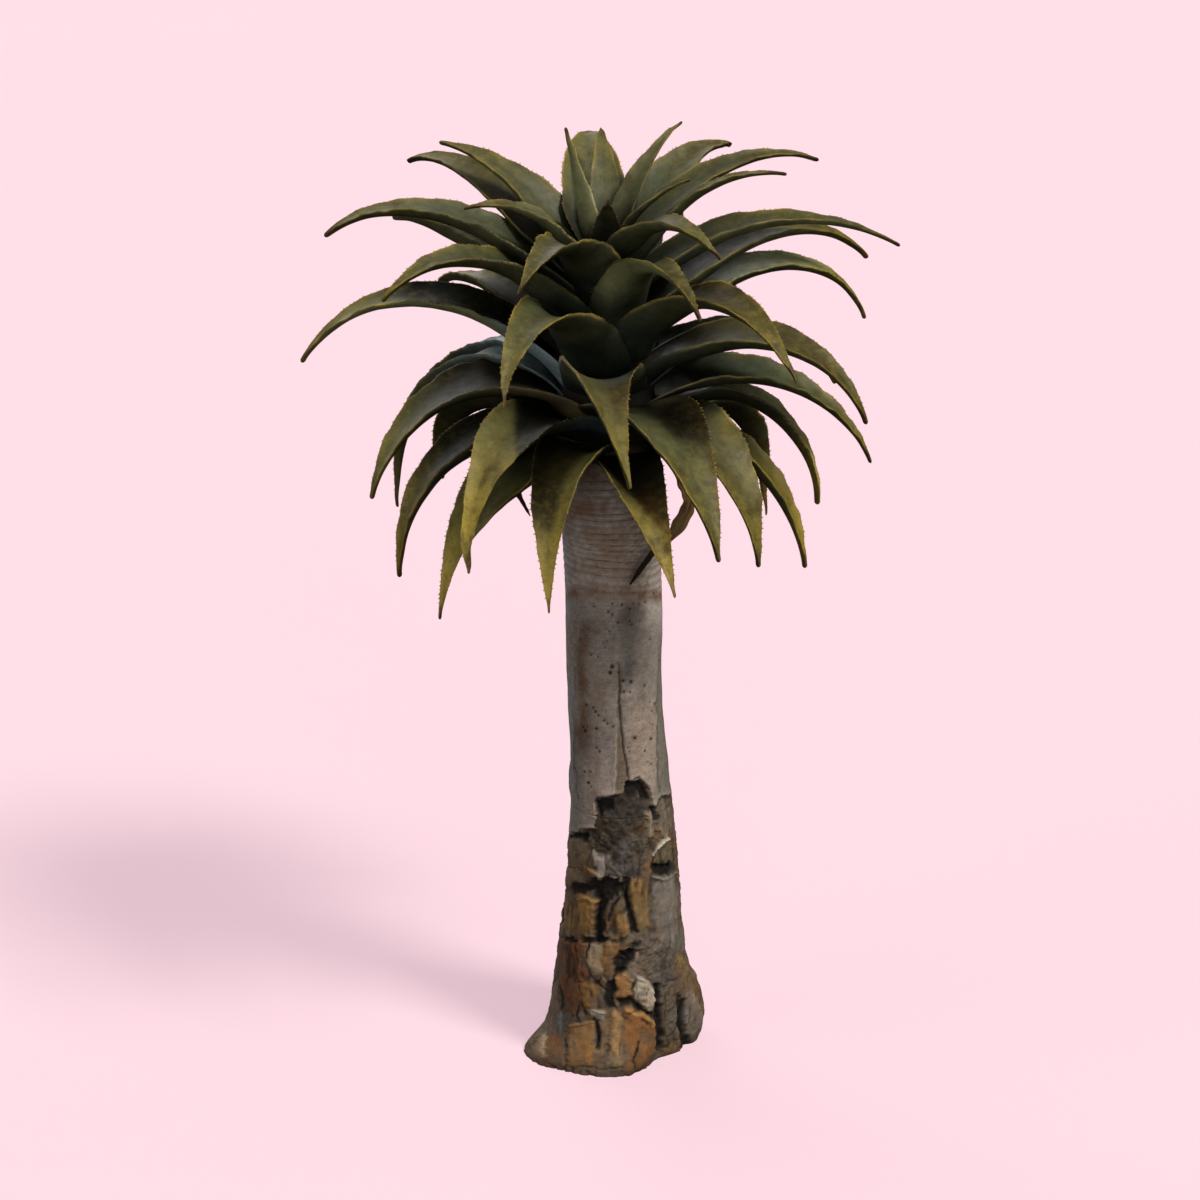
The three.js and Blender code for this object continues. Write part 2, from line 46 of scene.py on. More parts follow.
# ----------------------------------------------------------------- numbers in
# foot height, bearing, rise at the foot, rise at the point, bend exponent,
# length, half width, channel depth share, roll, sideways sweep, stand-off
LEAVES = [
  ['leaf_low_01', 1118.7, -79.8, 27.6, -57.7, 0.651, 358.5, 66.1, 0.313, 14.6, 19.1, 5.5],
  ['leaf_low_02', 1119.4, -144.1, -1.5, -85.5, 1.132, 390.1, 72.1, 0.31, -20, 15.8, 0],
  ['leaf_low_03', 1121.5, 79.6, 29.6, -83.8, 0.816, 405, 65.4, 0.164, -0.7, -0.9, 3.1],
  ['leaf_low_04', 1125, 146.8, 45.3, -95.1, 0.97, 390.4, 69.2, 0.448, 0.3, -6.2, 7.1],
  ['leaf_low_05', 1134.3, 42.8, 19.6, -90.6, 1, 511.8, 63.1, 0.302, -2.5, 34.6, 4],
  ['leaf_low_06', 1134.6, 105.9, 31.1, -83.9, 0.91, 409.2, 60.6, 0.439, -0.6, -0.3, 6.9],
  ['leaf_low_07', 1135.4, -108.7, 16.2, -81.7, 1.305, 434.4, 68.3, 0.273, 5.3, 23.8, 3.6],
  ['leaf_low_08', 1139, -168.4, 25.4, -95.3, 0.848, 425.7, 71.1, 0.347, -18.1, 7.8, 0.6],
  ['leaf_low_09', 1160.1, -126, 41.2, -81.5, 0.898, 440.8, 84.6, 0.259, -9.1, 13.2, 4.9],
  ['leaf_low_10', 1153.8, -8.1, 7.1, -84.6, 0.798, 373.1, 50.6, 0.303, 10.7, -12.7, 11],
  ['leaf_low_11', 1167.5, 7.4, 61.1, -88.3, 0.66, 407.8, 48.2, 0.21, 4.7, -25.1, 0],
  ['leaf_low_12', 1175.6, 59.5, 34.8, -77.1, 0.876, 417.6, 68.2, 0.435, 3.1, 0.1, 7.3],
  ['leaf_low_13', 1179.8, 134.2, 33.3, -75.7, 0.883, 416.6, 67.6, 0.313, -1, 1.9, 5.6],
  ['leaf_mid_01', 1197.6, -65.6, 34.6, -62.5, 0.597, 392.1, 100, 0.155, -23.3, 5.2, 3.7],
  ['leaf_mid_02', 1188.9, 96.6, 37.8, -75.7, 0.88, 412.3, 68.5, 0.353, -0.9, -1.2, 6],
  ['leaf_mid_03', 1166.2, -46, 63.6, -88.2, 0.53, 377.2, 86.1, 0.12, 7.2, 10.9, 9.8],
  ['leaf_mid_04', 1197.5, 0.5, 32.8, -68, 0.985, 429.8, 71.3, 0.311, 17.3, 1, 1.5],
  ['leaf_mid_05', 1196.5, -174.3, 49.2, -78.4, 0.685, 413.2, 83.8, 0.133, -20.5, 9.4, 8.4],
  ['leaf_mid_06', 1213.5, 158.8, 49.9, -98.2, 0.683, 521.5, 53.6, 0.207, 16.5, -16.9, 0.1],
  ['leaf_mid_07', 1231, 29, 33.1, -58.3, 1.088, 429.1, 69, 0.238, -0.1, 1.3, 0.5],
  ['leaf_mid_08', 1231.7, -95, 29.6, -59.4, 1.53, 459.3, 82.8, 0.272, -19.8, 28.5, 0],
  ['leaf_mid_09', 1233.1, 78.9, 34.8, -70.7, 1.052, 430.1, 70.3, 0.138, -0.1, -0.8, 2.3],
  ['leaf_mid_10', 1242.4, 178.1, 52, -62.1, 1.201, 512, 64.4, 0.215, -27, -6.5, 2.9],
  ['leaf_mid_11', 1246.5, -13.6, 41.1, -70.2, 1.198, 433.1, 77.4, 0.214, 15.6, -7.9, 0],
  ['leaf_mid_12', 1259, 137.4, 3, -61.6, 1.298, 460.2, 53, 0.171, -3.2, -0.3, 6.8],
  ['leaf_mid_13', 1260, 101.5, 36.1, -69.3, 1.036, 428.9, 67.5, 0.217, 0.4, -2.5, 2.5],
  ['leaf_mid_14', 1270, 139, 27.9, -46.9, 1.872, 418.2, 57.4, 0.253, 5.1, -22.6, 1.4],
  ['leaf_mid_15', 1271.2, -115.5, 61.5, -66, 1.183, 430.7, 75.8, 0.333, -23.2, 7.9, 1.6],
  ['leaf_mid_16', 1290.9, 56.9, 40.6, -61.5, 1.145, 421.9, 67.9, 0.136, -0.9, 1.3, 7.4],
  ['leaf_mid_17', 1291, -45.8, 62.9, -60.7, 1.065, 437.2, 71, 0.304, 15.2, -5.1, 0],
  ['leaf_mid_18', 1297.2, 12.9, 41.3, -74.6, 1.8, 451.1, 70.1, 0.2, 14.2, 2.1, 0],
  ['leaf_mid_19', 1298.2, 95.9, 41.4, -57.6, 1.221, 428.8, 67, 0.184, 1, 2.2, 3.7],
  ['leaf_mid_20', 1330.8, -153.5, 57.5, -44.9, 1.303, 397.5, 69.8, 0.265, -14.1, 6, 0],
  ['leaf_mid_21', 1335.3, 112.6, 33.8, -39.7, 1.288, 400.5, 63.5, 0.208, -5.5, 4.4, 10],
  ['leaf_mid_22', 1335.6, -68.7, 84.3, -54.2, 0.988, 348.6, 58.2, 0.289, -7.2, 14.3, 0.6],
  ['leaf_mid_23', 1336.5, 15.6, 40.4, -52.5, 1.854, 455.2, 67.1, 0.188, 18.6, 9.4, 0.3],
  ['leaf_top_01', 1355.8, 71.5, 42.6, -43.4, 1.362, 407, 65.9, 0.31, -2.1, -1.4, 5.4],
  ['leaf_top_02', 1357.3, 144.4, 22.5, -1.8, 1.558, 405.4, 61.5, 0.307, 7.7, -3, 2.6],
  ['leaf_top_03', 1370.2, 178.9, 45.2, -37.2, 1.642, 456.4, 72.3, 0.218, -11.3, 6.4, 0.3],
  ['leaf_top_04', 1373.3, -109, 68.2, -39.4, 1.022, 377.4, 67.8, 0.353, -7.3, -5.7, 0.5],
  ['leaf_top_05', 1375, 9.9, 43.4, -31, 1.113, 473.1, 60.8, 0.344, 8.8, -8.3, 0.1],
  ['leaf_top_06', 1386.3, 147.8, 45.3, -23.7, 1.786, 444.4, 69.3, 0.237, -20.7, -19.5, 3.3],
  ['leaf_top_07', 1394, 92.9, 46.6, -30.1, 1.123, 349.3, 57.7, 0.297, -3.3, 2.6, 5.4],
  ['leaf_top_08', 1406.7, 151.4, 60.7, 2.2, 1.182, 344.2, 59.2, 0.27, -22.2, -2.1, 5.5],
  ['leaf_top_09', 1407.8, -21.4, 63.1, -5.3, 1.464, 336.7, 31.3, 0.239, 13.7, 2.4, 7],
  ['leaf_top_10', 1409.5, -162.3, 72.3, -10.9, 1.027, 256.3, 38.7, 0.285, -21.9, 7.7, 0],
  ['leaf_top_11', 1409.7, 49.9, 54.1, -22.8, 1.729, 370, 68.8, 0.292, 16.7, 2.3, 6.5],
  ['leaf_top_12', 1417, 23.5, 58.4, -18.2, 1.174, 407.6, 46.8, 0.278, 25.9, -2.4, 2.9],
  ['leaf_top_13', 1420.5, 100.8, 57, 7.3, 1.145, 295.8, 60.6, 0.378, -1.7, -12.9, 3.9],
  ['leaf_top_14', 1420.5, -50.6, 69.3, -44.4, 1.047, 283.1, 50.8, 0.282, 9.2, 4.8, 3.6],
  ['leaf_top_15', 1426.4, -86.7, 72, 64, 1.25, 120.6, 22.1, 0.127, -0.2, -3.2, 1.5],
  ['leaf_top_16', 1428.9, 35.3, 82.4, 25.5, 1.161, 257.4, 34.3, 0.348, 25.6, 9.3, 0.1],
  ['leaf_top_17', 1431.5, 89.8, 73.8, 30.2, 1.463, 220.5, 35.3, 0.137, -14.5, 8.5, 9.7],
  ['leaf_top_18', 1433.3, -152.7, 81.1, 73.7, 1.005, 215.9, 21, 0.307, 4.9, -15.7, 5.7],
  ['leaf_top_19', 1436, -29.4, 72.1, 22.7, 0.879, 196.5, 19.8, 0.312, 3.3, 7.6, 3.2],
]
# dried leaves: bearing at foot and point, turn exponent, height at foot and
# point, fall exponent, reach at foot and point, bulge, bulge exponent, half
# width, thickness
DRY_LEAVES = [
  ['dry_leaf_right', -20.92, -69.88, 2.26, 1081.27, 893.28, 2.3, 85.5, 91.5, 70.37, 1.0, 14, 6],
  ['dry_leaf_left', 191.22, 197.66, 1.5, 1092.92, 999.42, 1.66, 85.5, 140, 52.04, 0.76, 8, 4],
]
NECK = np.array([[1060, 84], [1150, 82], [1230, 78], [1330, 64], [1390, 46], [1425, 26], [1440, 4]], float)
TIP_Z = 1440.0
ROOT_LOBES = [
  (12, 42, 32, 90, 40), (199, 45, 24, 28, 0), (232, 28, 24, 45, 0), (274, 28, 26, 50, 0),
  (310, -12, 20, 60, 0), (60, 18, 28, 60, 0), (135, 24, 26, 50, 0),
]

# the camera, which also tells where a mark seen from the front lies on the bark
CAM_AT = np.array([-23.337, -4792.432, 2579.142])
CAM_DOWN = math.radians(20.0)
CAM_F = 3000.0
CAM_SIZE = 1200.0


# -------------------------------------------------------------------- helpers
def smooth(a, b, x):
    s = np.clip((np.asarray(x, float) - a) / (b - a), 0, 1)
    return s * s * (3 - 2 * s)


def lin(*rgb):
    """Linear colour from 0-255 display values."""
    c = np.array(rgb, float) / 255
    return np.where(c <= 0.04045, c / 12.92, ((c + 0.055) / 1.055) ** 2.4)


def mix(a, b, k):
    k = np.asarray(k, float)
    if np.ndim(a) == 2 or np.ndim(b) == 2:
        k = k[:, None] if k.ndim == 1 else k
    return a + (b - a) * k


def hash01(ix, iy, iz, seed):
    h = (ix * 374761393 + iy * 668265263 + iz * 1440662683 + seed * 974634781) & 0xFFFFFFFF
    h = ((h ^ (h >> 15)) * 2246822519) & 0xFFFFFFFF
    h = ((h ^ (h >> 13)) * 3266489917) & 0xFFFFFFFF
    return ((h ^ (h >> 16)) & 0xFFFFFFFF) / 4294967296.0


def noise(p, size, seed):
    """Smooth noise from -1 to 1 with features of the given size."""
    q = np.asarray(p, float) / size
    i = np.floor(q).astype(np.int64)
    f = q - i
    f = f * f * f * (f * (f * 6 - 15) + 10)
    total = 0.0
    for dx in (0, 1):
        wx = f[:, 0] if dx else 1 - f[:, 0]
        for dy in (0, 1):
            wy = f[:, 1] if dy else 1 - f[:, 1]
            for dz in (0, 1):
                wz = f[:, 2] if dz else 1 - f[:, 2]
                total = total + wx * wy * wz * hash01(i[:, 0] + dx, i[:, 1] + dy, i[:, 2] + dz, seed)
    return total * 2 - 1


def fbm(p, size, seed, octaves=4, gain=0.5):
    total, amp, norm = 0.0, 1.0, 0.0
    for k in range(octaves):
        total = total + amp * noise(p, size / 2 ** k, seed + 17 * k)
        norm += amp
        amp *= gain
    return total / norm * 1.6


def cells(p, seed):
    """Nearest and second nearest distance to scattered seeds, and the nearest one's number."""
    i = np.floor(p).astype(np.int64)
    f1 = np.full(len(p), 9.0)
    f2 = np.full(len(p), 9.0)
    who = np.zeros(len(p))
    for dx in (-1, 0, 1):
        for dy in (-1, 0, 1):
            for dz in (-1, 0, 1):
                c = i + (dx, dy, dz)
                at = np.stack([c[:, k] + 0.12 + 0.76 * hash01(c[:, 0], c[:, 1], c[:, 2], seed + 31 * k) for k in range(3)], 1)
                d = np.sqrt(((at - p) ** 2).sum(1))
                near = d < f1
                f2 = np.where(near, f1, np.minimum(f2, d))
                who = np.where(near, hash01(c[:, 0], c[:, 1], c[:, 2], seed + 997), who)
                f1 = np.where(near, d, f1)
    return f1, f2, who


def inside(x, y, poly):
    """Signed distance to a closed outline, positive inside."""
    poly = np.array(poly, float)
    best = np.full(len(x), 1e9)
    odd = np.zeros(len(x), bool)
    for a, b in zip(poly, np.roll(poly, -1, 0)):
        ex, ey = b - a
        s = np.clip(((x - a[0]) * ex + (y - a[1]) * ey) / max(ex * ex + ey * ey, 1e-9), 0, 1)
        best = np.minimum(best, (x - a[0] - s * ex) ** 2 + (y - a[1] - s * ey) ** 2)
        cross = (a[1] > y) != (b[1] > y)
        if ey != 0:
            odd ^= cross & (x < ex * (y - a[1]) / ey + a[0])
    return np.where(odd, 1, -1) * np.sqrt(best)


def along(x, y, line):
    """Distance to an open line."""
    line = np.array(line, float)
    best = np.full(len(x), 1e9)
    for a, b in zip(line[:-1], line[1:]):
        ex, ey = b - a
        s = np.clip(((x - a[0]) * ex + (y - a[1]) * ey) / max(ex * ex + ey * ey, 1e-9), 0, 1)
        best = np.minimum(best, (x - a[0] - s * ex) ** 2 + (y - a[1] - s * ey) ** 2)
    return np.sqrt(best)


def seen_at(p):
    """Place in the 1200 x 1200 picture of points in millimetres."""
    q = np.asarray(p, float) - CAM_AT
    c, s = math.cos(CAM_DOWN), math.sin(CAM_DOWN)
    deep = q[:, 1] * c - q[:, 2] * s
    up = q[:, 1] * s + q[:, 2] * c
    return CAM_SIZE / 2 + CAM_F * q[:, 0] / deep, CAM_SIZE / 2 - CAM_F * up / deep


def axis_x(z):
    z = np.asarray(z, float)
    return np.where(z < 640, 15 * np.sin(np.pi * z / 640), -15 * (z - 640) / 790)


def core_r(z):
    z = np.asarray(z, float)
    low = 81 + 40 * np.exp(-(z / 380) ** 2) + 3 * np.clip((z - 700) / 300, 0, 1)
    return np.where(z > 1060, np.interp(z, NECK[:, 0], NECK[:, 1]), low)


def trunk_r(bearing, z):
    r = core_r(z)
    for at, reach, spread, height, middle in ROOT_LOBES:
        d = (bearing - at + 540) % 360 - 180
        r = r + reach * np.exp(-(d / spread) ** 2) * np.exp(-((z - middle) / height) ** 2)
    return r


def stem_r(z):
    if z > 1060:
        return float(np.interp(z, NECK[:, 0], NECK[:, 1]))
    return 84 - 2 * z / 900 if z <= 900 else 82 + 2 * (z - 900) / 160


def make_piece(name, points, faces, tint, uv, material, flat_from=None, marks=None):
    """Mesh object from millimetre points, with a colour for every point and its own unwrapped map."""
    mesh = bpy.data.meshes.new(name)
    mesh.from_pydata((np.asarray(points, float) * MM).tolist(), [], faces)
    colour = mesh.attributes.new("tint", "FLOAT_COLOR", "POINT")
    rgba = np.ones((len(points), 4), np.float32)
    rgba[:, :3] = np.clip(tint, 0.001, 1)
    colour.data.foreach_set("color", rgba.ravel())
    if marks is not None:
        worn = mesh.attributes.new("marks", "FLOAT", "POINT")
        worn.data.foreach_set("value", np.asarray(marks, np.float32))
    layer = mesh.uv_layers.new(name="OFBake")
    layer.data.foreach_set("uv", np.asarray(uv, np.float32).ravel())
    soft = np.ones(len(faces), bool)
    if flat_from is not None:
        soft[flat_from:] = False
    mesh.polygons.foreach_set("use_smooth", soft)
    mesh.materials.append(material)
    mesh.validate()
    mesh.update()
    piece = bpy.data.objects.new(name, mesh)
    bpy.context.scene.collection.objects.link(piece)
    return piece


# ------------------------------------------------------------------ materials
class Nodes:
    def __init__(self, name):
        self.material = bpy.data.materials.new(name)
        self.material.use_nodes = True
        self.tree = self.material.node_tree
        self.tree.nodes.clear()
        self.out = self.tree.nodes.new("ShaderNodeOutputMaterial")
        self.shader = self.tree.nodes.new("ShaderNodeBsdfPrincipled")
        self.link(self.shader.outputs["BSDF"], self.out.inputs["Surface"])
        self.place = self.tree.nodes.new("ShaderNodeTexCoord").outputs["Object"]

    def link(self, a, b):
        self.tree.links.new(a, b)

    def noise(self, scale, detail=4.0, rough=0.55, vector=None, distortion=0.0):
        n = self.tree.nodes.new("ShaderNodeTexNoise")
        n.inputs["Scale"].default_value = scale
        n.inputs["Detail"].default_value = detail
        n.inputs["Roughness"].default_value = rough
        n.inputs["Distortion"].default_value = distortion
        self.link(vector or self.place, n.inputs["Vector"])
        return n.outputs["Fac"]

    def spots(self, scale, vector=None):
        n = self.tree.nodes.new("ShaderNodeTexVoronoi")
        n.inputs["Scale"].default_value = scale
        self.link(vector or self.place, n.inputs["Vector"])
        return n.outputs["Distance"]

    def stretch(self, vector, scale):
        n = self.tree.nodes.new("ShaderNodeMapping")
        n.inputs["Scale"].default_value = scale
        self.link(vector, n.inputs["Vector"])
        return n.outputs["Vector"]

    def unwrapped(self):
        n = self.tree.nodes.new("ShaderNodeUVMap")
        n.uv_map = "OFBake"
        return n.outputs["UV"]

    def span(self, value, lo, hi, to_lo, to_hi):
        n = self.tree.nodes.new("ShaderNodeMapRange")
        for k, v in zip(("From Min", "From Max", "To Min", "To Max"), (lo, hi, to_lo, to_hi)):
            n.inputs[k].default_value = v
        self.link(value, n.inputs["Value"])
        return n.outputs["Result"]

    def math(self, op, a, b):
        n = self.tree.nodes.new("ShaderNodeMath")
        n.operation = op
        for k, v in enumerate((a, b)):
            if isinstance(v, (int, float)):
                n.inputs[k].default_value = v
            else:
                self.link(v, n.inputs[k])
        return n.outputs[0]

    def tint(self):
        n = self.tree.nodes.new("ShaderNodeAttribute")
        n.attribute_name = "tint"
        return n.outputs["Color"]

    def amount(self, name):
        n = self.tree.nodes.new("ShaderNodeAttribute")
        n.attribute_name = name
        return n.outputs["Fac"]

    def scaled(self, colour, value):
        """Colour times a grey value."""
        n = self.tree.nodes.new("ShaderNodeVectorMath")
        n.operation = "SCALE"
        self.link(colour, n.inputs[0])
        self.link(value, n.inputs["Scale"])
        return n.outputs[0]

    def towards(self, colour, other, share):
        n = self.tree.nodes.new("ShaderNodeMix")
        n.data_type = "RGBA"
        self.link(share, n.inputs["Factor"])
        self.link(colour, n.inputs[6])
        n.inputs[7].default_value = (*other, 1)
        return n.outputs[2]

    def bump(self, height, strength, distance, normal=None):
        n = self.tree.nodes.new("ShaderNodeBump")
        n.inputs["Strength"].default_value = strength
        n.inputs["Distance"].default_value = distance
        self.link(height, n.inputs["Height"])
        if normal is not None:
            self.link(normal, n.inputs["Normal"])
        return n.outputs["Normal"]


def leaf_material(name, fleck, rough_lo, rough_hi):
    n = Nodes(name)
    uv = n.unwrapped()
    worn = n.amount("marks")
    cloud = n.noise(26, 5, 0.6)
    patch = n.noise(82, 5, 0.65, None, 0.7)
    grain = n.noise(430, 4, 0.65)
    veins = n.noise(1.0, 4, 0.55, n.stretch(uv, (165, 5, 1)))
    colour = n.scaled(n.tint(), n.span(cloud, 0.25, 0.75, 0.74, 1.28))
    colour = n.scaled(colour, n.span(patch, 0.28, 0.72, 0.80, 1.22))
    colour = n.scaled(colour, n.span(grain, 0.25, 0.75, 0.80, 1.22))
    colour = n.scaled(colour, n.span(veins, 0.25, 0.75, 0.86, 1.14))
    # yellow and rusty weathering towards the points, and brown flecks in loose clusters
    yellow = n.math("MULTIPLY", n.span(n.noise(64, 5, 0.65), 0.47, 0.66, 0, 0.62), worn)
    colour = n.towards(colour, (0.330, 0.245, 0.052), yellow)
    rust = n.math("MULTIPLY", n.span(n.noise(95, 5, 0.7, None, 0.5), 0.56, 0.70, 0, 0.75), worn)
    colour = n.towards(colour, (0.088, 0.050, 0.018), rust)
    dots = n.span(n.spots(190), 0.10, 0.24, 1, 0)
    where = n.span(n.noise(24, 4, 0.6), 0.43, 0.60, 0, fleck)
    colour = n.towards(colour, (0.024, 0.017, 0.008), n.math("MULTIPLY", n.math("MULTIPLY", dots, where), worn))
    n.link(colour, n.shader.inputs["Base Color"])
    n.link(n.span(n.noise(70, 4, 0.6), 0.3, 0.7, rough_lo, rough_hi), n.shader.inputs["Roughness"])
    n.shader.inputs["Specular IOR Level"].default_value = 0.24
    first = n.bump(veins, 0.30, 0.0016)
    n.link(n.bump(n.math("ADD", grain, n.math("MULTIPLY", patch, 1.1)), 0.34, 0.0014, first), n.shader.inputs["Normal"])
    return n.material


def bark_material(name):
    n = Nodes(name)
    coarse = n.noise(95, 6, 0.62)
    fine = n.noise(520, 4, 0.62)
    hatch = n.noise(1.0, 4, 0.6, n.stretch(n.place, (70, 70, 430)))
    colour = n.scaled(n.tint(), n.span(coarse, 0.28, 0.72, 0.78, 1.24))
    colour = n.scaled(colour, n.span(fine, 0.28, 0.72, 0.80, 1.22))
    colour = n.scaled(colour, n.span(hatch, 0.3, 0.7, 0.93, 1.08))
    pores = n.math("MULTIPLY", n.span(n.spots(210), 0.08, 0.19, 1, 0), n.span(n.noise(33, 3, 0.5), 0.50, 0.62, 0, 0.75))
    colour = n.towards(colour, (0.022, 0.017, 0.013), pores)
    n.link(colour, n.shader.inputs["Base Color"])
    n.link(n.span(coarse, 0.3, 0.7, 0.72, 0.94), n.shader.inputs["Roughness"])
    n.shader.inputs["Specular IOR Level"].default_value = 0.28
    first = n.bump(coarse, 0.35, 0.0022)
    n.link(n.bump(n.math("ADD", fine, n.math("MULTIPLY", hatch, 0.6)), 0.42, 0.0012, first), n.shader.inputs["Normal"])
    return n.material


def dry_material(name):
    n = Nodes(name)
    fibre = n.noise(1.0, 4, 0.6, n.stretch(n.unwrapped(), (60, 4, 1)))
    fine = n.noise(420, 4, 0.6)
    colour = n.scaled(n.tint(), n.span(fibre, 0.25, 0.75, 0.62, 1.32))
    colour = n.scaled(colour, n.span(fine, 0.25, 0.75, 0.84, 1.18))
    n.link(colour, n.shader.inputs["Base Color"])
    n.link(n.span(fine, 0.3, 0.7, 0.70, 0.95), n.shader.inputs["Roughness"])
    n.shader.inputs["Specular IOR Level"].default_value = 0.25
    n.link(n.bump(n.math("ADD", fibre, n.math("MULTIPLY", fine, 0.5)), 0.5, 0.002), n.shader.inputs["Normal"])
    return n.material


def floor_material():
    n = Nodes("pale_floor")
    colour = n.tree.nodes.new("ShaderNodeMix")
    colour.data_type = "RGBA"
    n.link(n.noise(0.35, 2, 0.5), colour.inputs["Factor"])
    colour.inputs[6].default_value = (0.40, 0.300, 0.325, 1)
    colour.inputs[7].default_value = (0.42, 0.318, 0.343, 1)
    n.link(colour.outputs[2], n.shader.inputs["Base Color"])
    n.shader.inputs["Roughness"].default_value = 0.95
    n.shader.inputs["Specular IOR Level"].default_value = 0.1
    n.shader.inputs["Emission Color"].default_value = (1.0, 0.70, 0.80, 1)
    n.shader.inputs["Emission Strength"].default_value = 0.60
    return n.material


LEAF_MATERIAL = {
    "low": leaf_material("leaf_low_skin", 0.90, 0.32, 0.52),
    "mid": leaf_material("leaf_mid_skin", 0.75, 0.32, 0.52),
    "top": leaf_material("leaf_top_skin", 0.60, 0.36, 0.56),
}
BARK_MATERIAL = bark_material("bark_skin")
DRY_MATERIAL = dry_material("dry_leaf_skin")


